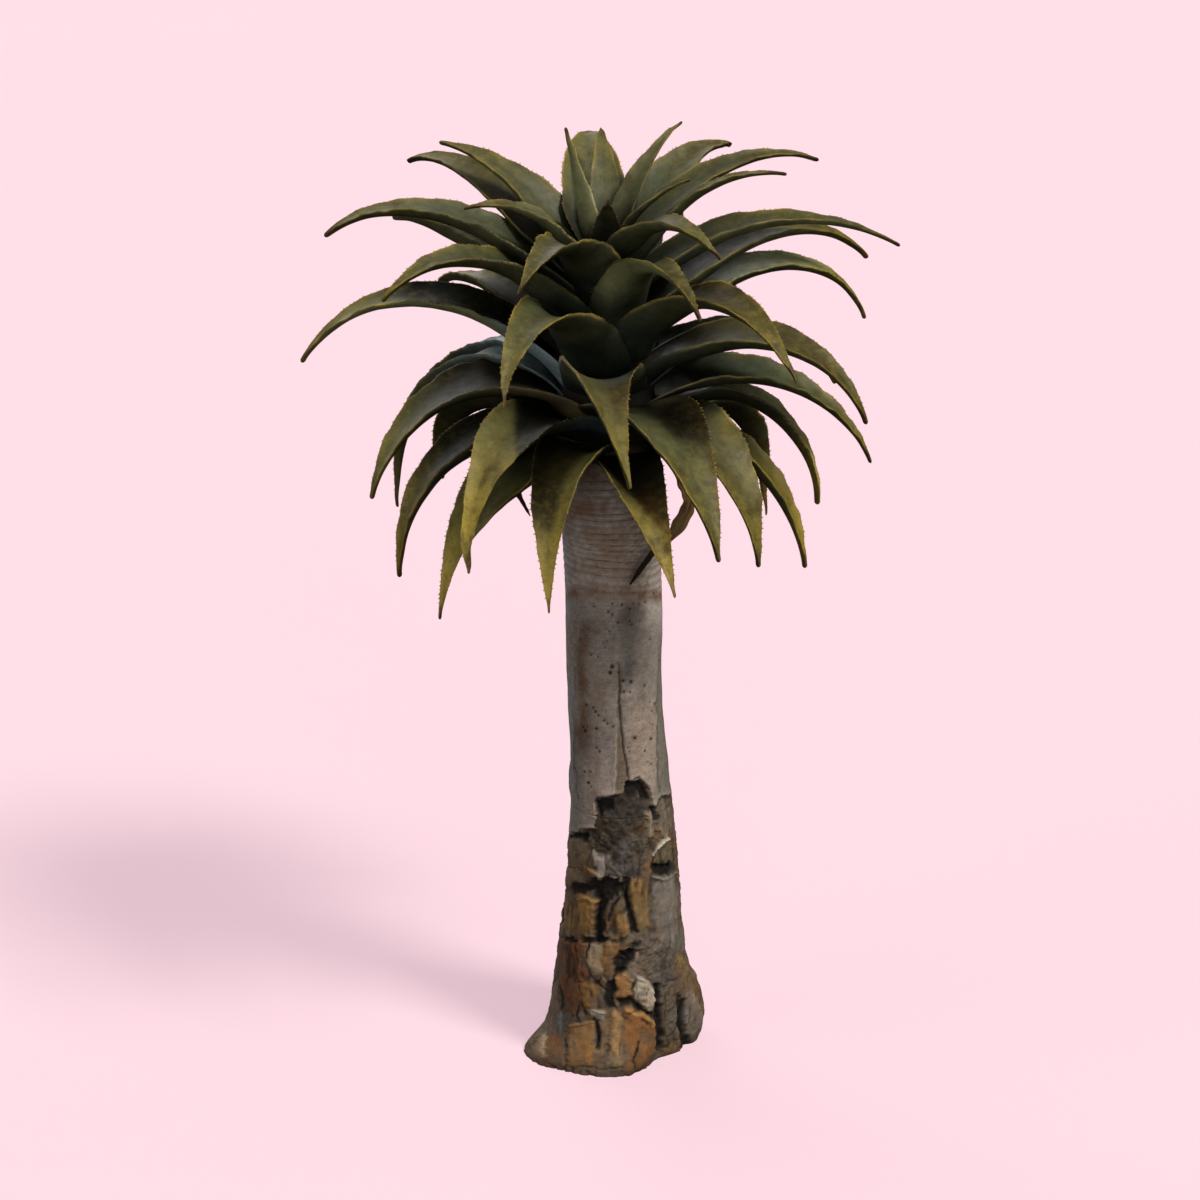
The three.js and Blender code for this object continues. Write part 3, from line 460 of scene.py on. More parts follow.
# ---------------------------------------------------------------------- trunk
# Bark seen from the front, as outlines in the picture: outline, colour, height
# of the plate, roughness. The far side gets the same kinds of plate, bent out of
# place, so the bark goes on all the way round.
PLATES = [
    ([(595, 798), (640, 788), (652, 806), (648, 812), (647, 828), (655, 845), (652, 862), (648, 881), (632, 881), (622, 873), (612, 862), (607, 853), (595, 847), (594, 830)], (36, 32, 27), -2.5, 1.0),
    ([(615, 838), (650, 830), (655, 846), (650, 880), (630, 880), (618, 868)], (72, 68, 65), -1.6, 0.9),
    ([(643, 781), (650, 789), (653, 806), (648, 807), (644, 795)], (58, 46, 41), -1.0, 0.5),
    ([(646, 811), (652, 808), (658, 824), (657, 838), (648, 838), (650, 822)], (140, 122, 102), 2.5, 0.1),
    ([(657, 806), (664, 798), (671, 800), (672, 838), (664, 838), (657, 822)], (134, 120, 104), 3.0, 0.1),
    ([(657, 845), (668, 840), (675, 846), (676, 862), (660, 865)], (92, 88, 68), 3.0, 0.3),
    ([(656, 864), (676, 862), (676, 872), (668, 878), (656, 875)], (36, 34, 26), -3.0, 0.4),
    ([(651, 850), (657, 851), (656, 868), (651, 880), (646, 880)], (126, 90, 54), 1.2, 0.2),
    ([(653, 880), (677, 874), (683, 930), (689, 952), (677, 956), (668, 944), (660, 936), (655, 915)], (118, 111, 104), 2.0, 0.15),
    ([(594, 847), (600, 853), (608, 855), (607, 872), (603, 877), (596, 875), (594, 863)], (196, 178, 166), 3.8, 0.1),
    ([(571, 836), (586, 838), (592, 850), (592, 866), (584, 868), (569, 862), (567, 848)], (120, 100, 78), 2.4, 0.2),
    ([(564, 868), (582, 868), (590, 880), (584, 888), (563, 888)], (104, 89, 76), 2.0, 0.2),
    ([(576, 889), (588, 888), (591, 896), (584, 899), (577, 897)], (136, 100, 58), 2.4, 0.1),
    ([(578, 900), (592, 897), (597, 906), (597, 925), (596, 934), (580, 935)], (134, 101, 58), 3.4, 0.1),
    ([(560, 890), (575, 892), (578, 905), (579, 934), (561, 936), (559, 915)], (120, 94, 62), 2.2, 0.2),
    ([(601, 878), (617, 880), (618, 898), (612, 904), (604, 902)], (90, 69, 54), 1.4, 0.4),
    ([(603, 912), (609, 910), (609, 930), (603, 932)], (106, 64, 38), 0.2, 0.3),
    ([(610, 906), (620, 902), (628, 918), (629, 934), (612, 938)], (132, 98, 54), 3.2, 0.1),
    ([(628, 886), (634, 879), (650, 880), (650, 905), (651, 928), (642, 932), (634, 928), (628, 908)], (134, 106, 62), 3.2, 0.1),
    ([(648, 880), (654, 880), (655, 932), (650, 932)], (78, 70, 63), 0.0, 0.5),
    ([(637, 934), (655, 932), (668, 944), (672, 960), (671, 986), (658, 992), (650, 978), (640, 968)], (88, 83, 77), 0.6, 0.9),
    ([(559, 938), (586, 938), (588, 975), (582, 1005), (574, 1010), (561, 1008), (557, 975)], (106, 66, 40), 1.8, 0.2),
    ([(564, 944), (572, 942), (574, 968), (566, 972)], (70, 40, 24), 1.8, 0.2),
    ([(588, 941), (604, 940), (606, 960), (604, 976), (592, 974), (589, 958)], (146, 126, 102), 3.2, 0.1),
    ([(605, 942), (622, 942), (622, 958), (616, 974), (606, 976)], (128, 92, 52), 2.4, 0.15),
    ([(631, 953), (638, 953), (637, 972), (632, 974)], (140, 121, 116), 2.0, 0.1),
    ([(616, 978), (626, 973), (634, 982), (632, 998), (624, 1003), (616, 1000)], (154, 111, 62), 4.4, 0.1),
    ([(634, 979), (642, 975), (652, 984), (657, 1000), (654, 1010), (644, 1010), (634, 998)], (188, 172, 152), 4.8, 0.1),
    ([(592, 992), (604, 986), (613, 996), (611, 1010), (598, 1010)], (86, 78, 71), 1.4, 0.5),
    ([(581, 980), (590, 976), (597, 986), (594, 1000), (584, 1008)], (136, 100, 58), 2.4, 0.2),
    ([(592, 1006), (598, 1010), (605, 1012), (603, 1018), (595, 1016)], (172, 160, 146), 3.6, 0.1),
    ([(553, 978), (560, 985), (557, 1010), (548, 1030), (540, 1060), (520, 1062), (517, 1054), (533, 1020)], (118, 100, 80), 0.5, 0.1),
    ([(543, 1028), (549, 1030), (546, 1056), (541, 1057)], (162, 147, 126), 1.2, 0.1),
    ([(558, 1008), (562, 1010), (562, 1036), (558, 1036)], (118, 127, 131), 1.2, 0.1),
    ([(549, 1030), (560, 1038), (562, 1066), (545, 1060)], (106, 71, 42), 1.2, 0.2),
    ([(568, 1028), (594, 1022), (594, 1064), (568, 1068)], (140, 100, 55), 2.4, 0.22),
    ([(598, 1020), (611, 1018), (608, 1054), (600, 1056)], (124, 98, 68), 2.2, 0.3),
    ([(613, 1010), (622, 1010), (624, 1066), (612, 1064)], (154, 120, 76), 3.4, 0.1),
    ([(623, 1006), (640, 1012), (656, 1018), (658, 1050), (648, 1066), (626, 1078), (624, 1040)], (128, 88, 48), 4.4, 0.12),
    ([(660, 982), (676, 986), (684, 1010), (686, 1044), (664, 1044), (660, 1020)], (92, 81, 66), 0.4, 0.9),
    ([(677, 953), (688, 955), (690, 966), (679, 966)], (136, 111, 72), 2.4, 0.1),
    ([(677, 967), (691, 967), (695, 990), (680, 994)], (106, 87, 66), 2.4, 0.25),
    ([(684, 988), (696, 990), (708, 1015), (707, 1038), (692, 1046), (682, 1030)], (114, 107, 100), 2.0, 0.2),
    ([(664, 1044), (683, 1043), (683, 1058), (664, 1060)], (128, 99, 64), 2.4, 0.2),
]
# dark cracks: line, half width, depth
CRACKS = [
    ([(596, 886), (600, 895), (597, 910), (597, 925), (596, 936)], 3.4, 6.5),
    ([(559, 886), (575, 885), (588, 888), (598, 889)], 1.5, 3.5),
    ([(627, 880), (627, 895), (631, 910), (636, 930)], 1.9, 4.5),
    ([(618, 898), (612, 906), (609, 918)], 1.4, 3.5),
    ([(606, 938), (595, 937), (585, 938)], 1.7, 3.5),
    ([(618, 958), (625, 962), (619, 974)], 3.2, 4.5),
    ([(624, 956), (632, 949), (641, 941)], 1.8, 3.5),
    ([(588, 942), (588, 958), (591, 976), (605, 990), (614, 1000)], 1.3, 3.2),
    ([(614, 976), (613, 1000), (616, 1008)], 2.0, 4.0),
    ([(634, 982), (633, 1000), (642, 1011), (653, 1014)], 1.7, 4.0),
    ([(620, 1004), (632, 1002)], 1.4, 3.0),
    ([(596, 1019), (598, 1034), (596, 1046)], 2.0, 4.5),
    ([(586, 1010), (580, 1000), (577, 1012), (579, 1024)], 1.4, 3.2),
    ([(565, 1038), (566, 1068)], 1.1, 2.6),
    ([(660, 985), (659, 1005), (661, 1030), (659, 1048)], 2.6, 5.0),
    ([(680, 994), (684, 1002), (681, 1022), (690, 1044)], 2.2, 4.0),
    ([(655, 1047), (668, 1046)], 1.4, 3.0),
    ([(640, 1018), (650, 1022), (652, 1028)], 1.0, 2.2),
    ([(561, 878), (559, 900), (561, 922)], 1.4, 3.0),
    ([(651, 806), (656, 813)], 2.2, 4.0),
    ([(659, 824), (664, 838)], 1.3, 3.0),
    ([(655, 851), (653, 868)], 1.0, 2.5),
    ([(626, 872), (625, 861)], 1.3, 2.5),
    ([(606, 877), (615, 882), (624, 891)], 2.4, 4.5),
    ([(566, 834), (580, 833), (586, 836)], 1.6, 3.5),
    ([(566, 867), (583, 868), (593, 868)], 1.1, 2.5),
    ([(572, 1012), (569, 1028)], 1.3, 2.6),
    ([(560, 985), (561, 1006)], 1.5, 3.2),
    ([(576, 938), (578, 975), (583, 1004)], 0.9, 1.8),
    ([(640, 1040), (634, 1060), (637, 1070)], 0.9, 2.0),
]
# ragged lower rim of the smooth bark
RIM = np.array([(540, 836), (566, 834), (578, 831), (580, 828), (594, 828), (595, 801), (597, 796), (613, 796), (624, 794), (626, 782), (633, 780),
                (639, 778), (646, 781), (651, 789), (653, 804), (656, 806), (661, 797), (672, 795), (700, 797)], float)
# dark pores on the smooth bark: place and radius
PORES = [(586, 705, 1.3), (593, 708, 1.2), (595, 712, 1.5), (598, 716, 1.2), (583, 727, 1.4), (585, 731, 1.9), (596, 729, 1.8), (604, 721, 1.4), (607, 724, 1.3),
         (645, 686, 1.4), (635, 738, 2.2), (651, 739, 1.7), (645, 751, 1.4), (588, 783, 1.9), (584, 772, 1.3), (590, 772, 1.2), (596, 748, 1.2), (599, 752, 1.4),
         (623, 681, 2.0), (631, 682, 2.2), (624, 692, 1.6), (630, 692, 1.4), (612, 667, 2.6), (610, 673, 2.4), (603, 643, 1.0), (607, 641, 0.9), (605, 647, 0.9),
         (580, 639, 1.1), (588, 629, 1.1), (609, 632, 1.1), (618, 623, 1.4), (632, 625, 1.2), (608, 612, 1.6), (612, 615, 1.3), (630, 609, 1.3), (594, 607, 1.0),
         (640, 621, 1.0), (612, 604, 1.2), (633, 604, 1.0), (639, 604, 1.0), (645, 602, 1.2), (654, 593, 1.1), (657, 592, 1.0), (622, 605, 1.3), (630, 621, 1.2),
         (650, 702, 1.0), (655, 704, 1.3), (652, 711, 1.1), (643, 708, 0.9), (598, 657, 1.0), (648, 762, 0.9), (651, 764, 1.0), (591, 787, 1.1), (628, 748, 0.8),
         (629, 752, 0.9), (613, 727, 1.2), (591, 655, 1.1), (650, 640, 1.0)]


# hollows in the old bark, painted black as the shade inside them: outline, depth
HOLLOWS = [
    ([(595, 798), (604, 797), (613, 797), (614, 805), (607, 809), (600, 813), (595, 810)], 8.0),
    ([(625, 783), (633, 780), (641, 779), (647, 786), (650, 797), (643, 799), (640, 790), (630, 796), (625, 793)], 8.0),
    ([(590, 877), (600, 878), (608, 880), (618, 880), (625, 885), (622, 893), (612, 897), (606, 906), (603, 918), (603, 938), (593, 939), (594, 920), (596, 905), (594, 892), (588, 884)], 8.5),
    ([(568, 829), (580, 832), (588, 833), (588, 841), (578, 839), (568, 837)], 5.0),
    ([(612, 957), (622, 949), (634, 951), (634, 960), (627, 966), (620, 976), (613, 976), (616, 966)], 6.0),
    ([(656, 985), (663, 983), (663, 1005), (665, 1030), (662, 1047), (656, 1047), (657, 1020)], 5.5),
    ([(595, 1018), (600, 1019), (602, 1034), (599, 1047), (595, 1045), (596, 1034)], 6.0),
    ([(650, 803), (655, 803), (660, 812), (662, 822), (656, 820)], 5.0),
    ([(655, 866), (668, 862), (677, 861), (675, 871), (666, 877), (656, 876)], 6.5),
    ([(679, 992), (687, 998), (685, 1020), (688, 1034), (694, 1046), (685, 1048), (680, 1022)], 4.5),
    ([(570, 884), (582, 881), (592, 886), (586, 893), (574, 892)], 3.5),
    ([(625, 877), (631, 880), (631, 896), (635, 914), (639, 932), (632, 934), (627, 910)], 5.5),
    ([(558, 866), (565, 869), (563, 890), (563, 922), (557, 922)], 4.0),
    ([(604, 985), (614, 978), (618, 990), (616, 1006), (608, 1012), (604, 1000)], 4.0),
    ([(632, 1000), (642, 1010), (655, 1012), (654, 1019), (640, 1016), (631, 1008)], 4.5),
    ([(618, 1000), (632, 998), (632, 1005), (620, 1007)], 4.0),
    ([(583, 935), (598, 936), (608, 936), (606, 942), (592, 941), (583, 941)], 4.0),
    ([(562, 936), (576, 934), (578, 940), (564, 941)], 3.0),
]
# standing edges of bark: line, half width, height, colour
LIPS = [
    ([(654, 855), (657, 848), (663, 842), (669, 838)], 1.2, 6.0, (206, 200, 188)),
    ([(596, 795), (605, 796), (613, 795)], 1.3, 2.5, (150, 138, 124)),
    ([(625, 781), (634, 778), (642, 778)], 1.3, 2.5, (148, 134, 118)),
    ([(594, 1008), (599, 1011), (604, 1013)], 1.1, 3.5, (164, 152, 138)),
    ([(648, 811), (652, 822), (650, 836)], 1.6, 3.5, (146, 130, 110)),
    ([(586, 868), (594, 872), (600, 879)], 1.4, 3.0, (124, 92, 58)),
    ([(655, 878), (666, 880), (677, 873)], 1.5, 3.0, (126, 118, 108)),
    ([(578, 898), (588, 896), (596, 902)], 1.4, 3.0, (150, 112, 62)),
    ([(638, 976), (648, 981), (655, 992)], 1.5, 3.0, (172, 160, 144)),
    ([(616, 978), (625, 973), (633, 980)], 1.4, 3.0, (160, 118, 68)),
    ([(626, 1010), (640, 1014), (655, 1020)], 1.6, 3.5, (166, 124, 74)),
    ([(570, 1026), (582, 1023), (594, 1021)], 1.4, 2.5, (140, 108, 70)),
]


def trunk_surface():
    rows = np.concatenate([np.arange(0, 466, 1.5), np.arange(467.2, 1100, 2.2), np.arange(1104, 1425, 13.0), [1432.0]])
    count = 272
    bearing = np.arange(count) * 360 / count
    zz, bb = np.meshgrid(rows, bearing, indexing="ij")
    z, b = zz.ravel(), bb.ravel()
    rr = trunk_r(b, z)
    a = np.radians(b)
    out = np.stack([np.cos(a), np.sin(a), np.zeros_like(a)], 1)
    aside = (1.6 + 1.6 * smooth(200, 600, z)) * (1 - smooth(1040, 1130, z))
    base = np.stack([axis_x(z) + aside, np.zeros_like(z), z], 1) + out * rr[:, None]

    # picture place of every point; the far side borrows the near side's, bent out of place
    near = base.copy()
    near[:, 1] = -np.abs(near[:, 1])
    px, py = seen_at(near)
    far = smooth(0, 70, base[:, 1])
    px = px + far * fbm(base, 110, 5, 2) * 16
    py = py + far * (fbm(base, 130, 6, 2) * 26 + 30)
    flank = smooth(-4, 12, base[:, 1]) * (1 - smooth(40, 68, base[:, 1]))
    keep = 1 - 0.94 * flank
    # frayed outlines
    fx = px + 1.3 * fbm(base, 22, 11, 3) + 0.4 * noise(base, 5, 13)
    fy = py + 1.5 * fbm(base, 22, 12, 3) + 0.5 * noise(base, 5, 14)

    height = np.zeros(len(z))
    rough = np.zeros(len(z))

    # smooth grey stem, browner on the left, with painted light making it paler on the right
    soft1 = fbm(base, 120, 21, 3)
    soft2 = fbm(base, 34, 22, 4)
    stem = np.tile(lin(136, 124, 115), (len(z), 1))
    stem = mix(stem, lin(158, 147, 137), smooth(-0.1, 0.7, soft1) * 0.6)
    stem = mix(stem, lin(104, 90, 80), smooth(0.05, 0.8, soft2) * 0.55)
    # painted light: paler towards the right side, where the light falls
    stem = mix(stem, lin(152, 143, 135), smooth(640, 658, fx) * 0.35)
    stain = np.exp(-((fx - 583) / 8.0) ** 2) * smooth(612, 640, fy) * (1 - smooth(735, 775, fy))
    stem = mix(stem, lin(104, 76, 56), np.clip(stain * (0.75 + 0.5 * soft2), 0, 0.9))
    stem = mix(stem, lin(112, 84, 62), np.exp(-((fx - 600) / 9.0) ** 2) * np.exp(-((fy - 690) / 26) ** 2) * 0.55)
    stem = mix(stem, lin(170, 150, 134), smooth(622, 632, fx) * (1 - smooth(654, 658, fx)) * smooth(690, 720, fy) * 0.55)
    stem = mix(stem, lin(176, 154, 140), smooth(578, 586, fx) * (1 - smooth(606, 614, fx)) * smooth(745, 775, fy) * 0.5)
    # painted shadow of the leaf above: a soft dark band down the stem, ending in a darker patch
    stem = mix(stem, lin(70, 66, 66), np.exp(-((fx - 629) / 11.0) ** 2) * smooth(575, 622, fy) * (1 - smooth(672, 692, fy)) * (0.66 + 0.2 * soft2))
    stem = mix(stem, lin(74, 66, 60), np.exp(-((fx - 621) / 13) ** 2) * np.exp(-((fy - 675) / 11) ** 2) * 0.55)
    # painted highlight on the right edge just below the leaves
    stem = mix(stem, lin(198, 188, 178), smooth(642, 650, fx) * smooth(552, 568, fy) * (1 - smooth(600, 640, fy)) * 0.70)
    stem = mix(stem, lin(98, 89, 84), np.exp(-((fx - 606) / 13.0) ** 2) * np.exp(-((fy - 648) / 20) ** 2) * 0.55)
    # strips of older bark down both flanks, a little set back; the left one's blue grey is partly painted cool light on
    # that flank
    left = (1 - smooth(571.0, 575.5, fx + 0.02 * (fy - 700) + 1.5 * soft1)) * smooth(660, 705, fy) * (1 - 0.85 * smooth(-22, 22, base[:, 1]))
    right = smooth(656, 660, fx + 0.012 * (fy - 730)) * smooth(630, 690, fy)
    stem = mix(stem, mix(np.tile(lin(138, 137, 137), (len(z), 1)), lin(124, 131, 135), smooth(725, 770, fy)), left * 0.85)
    stem = mix(stem, lin(118, 114, 100), right * 0.75)
    height = height - 2.2 * left - 1.8 * right
    for line, wide in (([(574, 668), (573, 710), (574, 760), (577, 800)], 0.9), ([(660, 660), (657, 720), (659, 780), (663, 797)], 0.9)):
        k = np.exp(-(along(fx, fy, line) / wide) ** 2)
        stem = mix(stem, lin(66, 54, 44), 0.55 * k)
        height = height - 1.0 * k
    # bulge of bark on the left flank
    height = height + 7.0 * np.exp(-((py - 786) / 7.5) ** 2) * (1 - smooth(566, 574, px)) + 4.0 * np.exp(-((py - 818) / 10) ** 2) * (1 - smooth(564, 572, px))
    # groove that opens downwards
    groove = inside(fx, fy, [(617.5, 672), (620.5, 672), (622, 725), (631, 792), (615, 797), (617, 745)])
    g = smooth(-1.0, 1.0, groove)
    stem = mix(stem, lin(112, 96, 78), g * 0.85)
    height = height - 2.4 * g
    crease = np.exp(-(along(fx, fy, [(618.5, 664), (619.5, 700), (621, 730), (626, 760), (630, 790)]) / 0.9) ** 2)
    stem = mix(stem, lin(40, 32, 26), crease * 0.85)
    height = height - 1.6 * crease
    lip = np.exp(-(along(fx, fy, [(617, 735), (615, 770), (614, 795)]) / 0.9) ** 2)
    stem = mix(stem, lin(176, 162, 146), lip * 0.5)
    height = height + 0.8 * lip

    # ring scars below the leaves
    za = z + 3.0 * np.sin(np.radians(b * 2 + 40)) + 2.4 * noise(base, 60, 31) + 0.9 * noise(base, 18, 32)
    za = za + 0.10 * base[:, 0] * (1 - smooth(930, 1040, z))
    ring = smooth(838, 900, za) * (1 - 0.4 * smooth(1060, 1100, za))
    phase = za / 11.4 + 0.35 * np.sin(za / 31) + 0.2 * np.sin(za / 13.7)
    cut = (0.5 + 0.5 * np.cos(2 * np.pi * phase)) ** 11
    strong = 0.15 + 0.85 * hash01(np.floor(phase + 0.5).astype(np.int64), np.zeros(len(z), np.int64), np.zeros(len(z), np.int64), 77)
    broken = 0.55 + 0.75 * fbm(base * (1, 1, 0.6), 62, 33, 2)
    scar = ring * cut * strong * np.clip(broken, 0.08, 1)
    thin = (0.5 + 0.5 * np.cos(2 * np.pi * (za / 4.9 + 0.6 * np.sin(za / 23)))) ** 5 * ring * smooth(-0.3, 0.5, noise(base * (1, 1, 0.5), 44, 34))
    height = height + ring * 0.65 * np.sin(2 * np.pi * phase + 0.9) - 1.1 * scar - 0.3 * thin
    ringed = np.tile(lin(172, 157, 145), (len(z), 1))
    ringed = mix(ringed, lin(140, 116, 96), smooth(-0.1, 0.7, soft2) * 0.5)
    ringed = mix(ringed, lin(186, 174, 164), smooth(-0.2, 0.6, soft1) * 0.4)
    ringed = mix(ringed, lin(150, 112, 82), smooth(0.0, 0.7, fbm(base * (1, 1, 1.6), 46, 35, 3)) * 0.5)
    # painted light: the ringed bark is paler towards the lit right side
    ringed = mix(ringed, lin(188, 176, 166), smooth(640, 655, fx) * 0.6)
    stem = mix(stem, ringed, smooth(830, 890, za) * 0.9)
    stem = mix(stem, lin(166, 164, 166), (1 - smooth(566, 576, fx)) * smooth(530, 560, fy) * (1 - smooth(600, 640, fy)) * 0.7)
    # fine cross lines and grain on the smooth bark
    fine = (0.5 + 0.5 * np.cos(2 * np.pi * (za / 6.1 + 0.7 * np.sin(za / 29) + 0.3 * soft2))) ** 4 * (1 - ring) * smooth(-0.2, 0.6, noise(base * (1, 1, 0.4), 52, 36))
    stem = mix(stem, lin(92, 80, 72), 0.34 * fine)
    stem = stem * (1 + 0.12 * noise(base * (1, 1, 1.8), 6, 37) + 0.09 * noise(base, 3.4, 38))[:, None]
    height = height - 0.25 * fine
    stem = mix(stem, lin(72, 54, 42), np.clip(scar * 1.15, 0, 0.8))
    stem = mix(stem, lin(100, 82, 70), np.clip(thin * 0.5, 0, 0.45))
    stem = mix(stem, lin(136, 92, 60), np.exp(-((fx - 582) / 12) ** 2) * np.exp(-((fy - 509) / 9) ** 2) * 0.75)
    band = np.exp(-((fy - 592 - 0.02 * (fx - 615) ** 2 / 10) / 7.5) ** 2) * (0.55 + 0.5 * soft2)
    stem = mix(stem, lin(112, 80, 56), np.clip(band, 0, 0.8))
    stem = mix(stem, lin(110, 78, 52), np.exp(-((fx - 622) / 14) ** 2) * np.exp(-((fy - 572) / 7) ** 2) * 0.4)
    # rust brown, darker on the right as painted shade, then painted nearly black as the shade under the leaf feet
    stem = mix(stem, lin(92, 58, 34), smooth(1030, 1085, za) * (0.35 + 0.65 * smooth(632, 655, fx)) * 0.9)
    stem = mix(stem, lin(74, 46, 28), smooth(962, 1040, za) * smooth(640, 656, fx) * 0.75)
    stem = mix(stem, lin(30, 26, 18), smooth(1085, 1130, za))
    # pores
    pit = np.zeros(len(z))
    for x0, y0, r0 in PORES:
        pit = np.maximum(pit, 1.25 * np.exp(-(((px - x0) ** 2 + (py - y0) ** 2) / (0.86 * r0) ** 2) ** 1.5))
    speck = hash01((b * 10).astype(np.int64), (z * 10).astype(np.int64), np.zeros(len(z), np.int64), 3)
    often = 0.008 + 0.03 * smooth(0.1, 0.6, fbm(base, 60, 41, 2))
    pit = np.maximum(pit, np.where((speck < often) & (z > 430) & (z < 900), 0.35 + 30 * (speck % 0.01), 0))
    stem = mix(stem, lin(30, 23, 20), np.clip(pit, 0, 0.94))
    height = height - 1.3 * np.clip(pit, 0, 1)
    height = height + 1.1 * soft1 + 0.55 * soft2

    # lower bark: blotched old bark first, the seen flakes over it, each with its own slant
    warp = base + np.stack([fbm(base, 55, 51 + k, 3) * 20 + fbm(base, 16, 55 + k, 2) * 4 for k in range(3)], 1)
    f1, f2, who = cells(warp / (40, 40, 74), 61)
    edge = f2 - f1
    f1b, f2b, whob = cells(warp / (17, 17, 34), 67)
    edge_b = f2b - f1b
    palette = np.array([lin(112, 84, 52), lin(128, 96, 56), lin(100, 82, 64), lin(90, 62, 40), lin(118, 106, 92), lin(96, 90, 83), lin(108, 94, 76), lin(84, 72, 60)])
    pick = np.floor(who * len(palette)).astype(int)
    low = palette[pick] * (0.90 + 0.2 * ((who * 37) % 1))[:, None]
    low = mix(low, palette[np.floor(whob * len(palette)).astype(int)], 0.35)
    blur = smooth(-0.5, 0.6, fbm(base, 30, 63, 3))
    low = mix(low, mix(np.tile(lin(96, 76, 54), (len(z), 1)), lin(104, 94, 84), smooth(-0.3, 0.5, fbm(base, 48, 64, 3))), 0.30 + 0.5 * blur)
    split = smooth(-0.1, 0.55, fbm(base, 58, 65, 3))
    low_h = (who * 91 % 1) * 3.2 + (1.6 * (1 - np.exp(-edge / 0.16)) + 0.8 * (1 - np.exp(-edge_b / 0.16))) * (0.3 + 0.7 * split)
    low_rough = 0.30 + 0.5 * ((who * 53) % 1) ** 2
    low = mix(low, lin(40, 32, 25), np.exp(-(edge / 0.045) ** 2) * 0.8 * split)
    low = mix(low, lin(56, 45, 36), np.exp(-(edge_b / 0.05) ** 2) * 0.35 * split)
    low_h = low_h - (2.8 * np.exp(-(edge / 0.05) ** 2) + 1.0 * np.exp(-(edge_b / 0.06) ** 2)) * split

    # outlines wander a little and fade in places
    gx = px + 1.0 + 2.8 * fbm(base, 34, 15, 3) + 1.9 * noise(base, 9, 16) + 0.8 * noise(base, 4.5, 13)
    gy = py - 2.0 + 3.6 * fbm(base, 34, 17, 3) + 2.5 * noise(base, 9, 18) + 1.0 * noise(base, 4.5, 14)
    ragged = 0.5 + 0.5 * np.clip(1.3 * fbm(base, 24, 19, 3), -1, 1)
    streak = noise(base * (1, 1, 0.18), 7, 261) + 0.7 * noise(base * (1, 1, 0.22), 3.6, 262)
    mottle = fbm(base, 18, 203, 4)
    # the old bark swells and sinks, and splits along its length
    fissure = np.exp(-(fbm(base * (1, 1, 0.28), 26, 264, 3) / 0.10) ** 2) * smooth(-0.1, 0.4, fbm(base, 52, 266, 2))
    low_h = low_h + 2.4 * fbm(base, 46, 267, 3) + 0.9 * streak
    for outline, colour, rise, grit in PLATES:
        box = np.array(outline)
        m = (gx > box[:, 0].min() - 7) & (gx < box[:, 0].max() + 7) & (gy > box[:, 1].min() - 7) & (gy < box[:, 1].max() + 7)
        if not m.any():
            continue
        d = inside(gx[m], gy[m], outline)
        rag = ragged[m]
        k = smooth(-1.4 - 2.4 * rag, 0.8 + 3.2 * rag, d) * keep[m]
        lot = int(outline[0][0] * 7 + outline[0][1] * 13)
        lean = math.radians((lot * 47) % 360)
        middle = box.mean(0)
        reach = 0.5 * np.ptp(box, axis=0) + 3
        ox = np.clip((gx[m] - middle[0]) / reach[0], -1.2, 1.2)
        oy = np.clip((gy[m] - middle[1]) / reach[1], -1.2, 1.2)
        slant = ox * math.cos(lean) + oy * math.sin(lean)
        # painted light and shade on each flake: lighter on its raised side, darker towards its lower part and along its
        # sunken rim; mottle and streaks are its own colour
        shade = 1.06 + 0.32 * mottle[m] + 0.16 * streak[m] * (1 - grit) + 0.15 * slant - 0.16 * oy
        rim_dark = np.exp(-(np.maximum(d, 0) / (0.9 + 2.4 * rag)) ** 2) * (d > -3)
        shade = shade * (1 - (0.15 + 0.45 * (1 - rag)) * rim_dark * np.clip(0.6 - 0.6 * slant, 0, 1))
        c = lin(*colour)[None, :] * np.clip(shade, 0.3, 1.6)[:, None]
        # ochre runs into rust and grey inside a flake
        c = mix(c, c * np.array([1.10, 0.92, 0.74]), 0.6 * smooth(0.0, 0.7, mottle[m] + 0.4 * slant) * (1 - grit))
        c = mix(c, np.tile(lin(104, 97, 88), (len(c), 1)), 0.45 * smooth(0.15, 0.8, -mottle[m] + 0.3 * oy))
        low[m] = mix(low[m], c, 0.94 * k)
        lift = 2.0 + rise * (0.65 + 0.55 * slant) + 1.4 * (1 - np.exp(-np.maximum(d, 0) / 3.5)) + 1.1 * mottle[m] + 0.6 * streak[m] * (1 - grit)
        low_h[m] = low_h[m] + (lift - low_h[m]) * 0.85 * keep[m] * smooth(-1.4 - 1.2 * rag, 0.9 + 2.0 * rag, d)
        low_rough[m] = low_rough[m] + (grit - low_rough[m]) * k
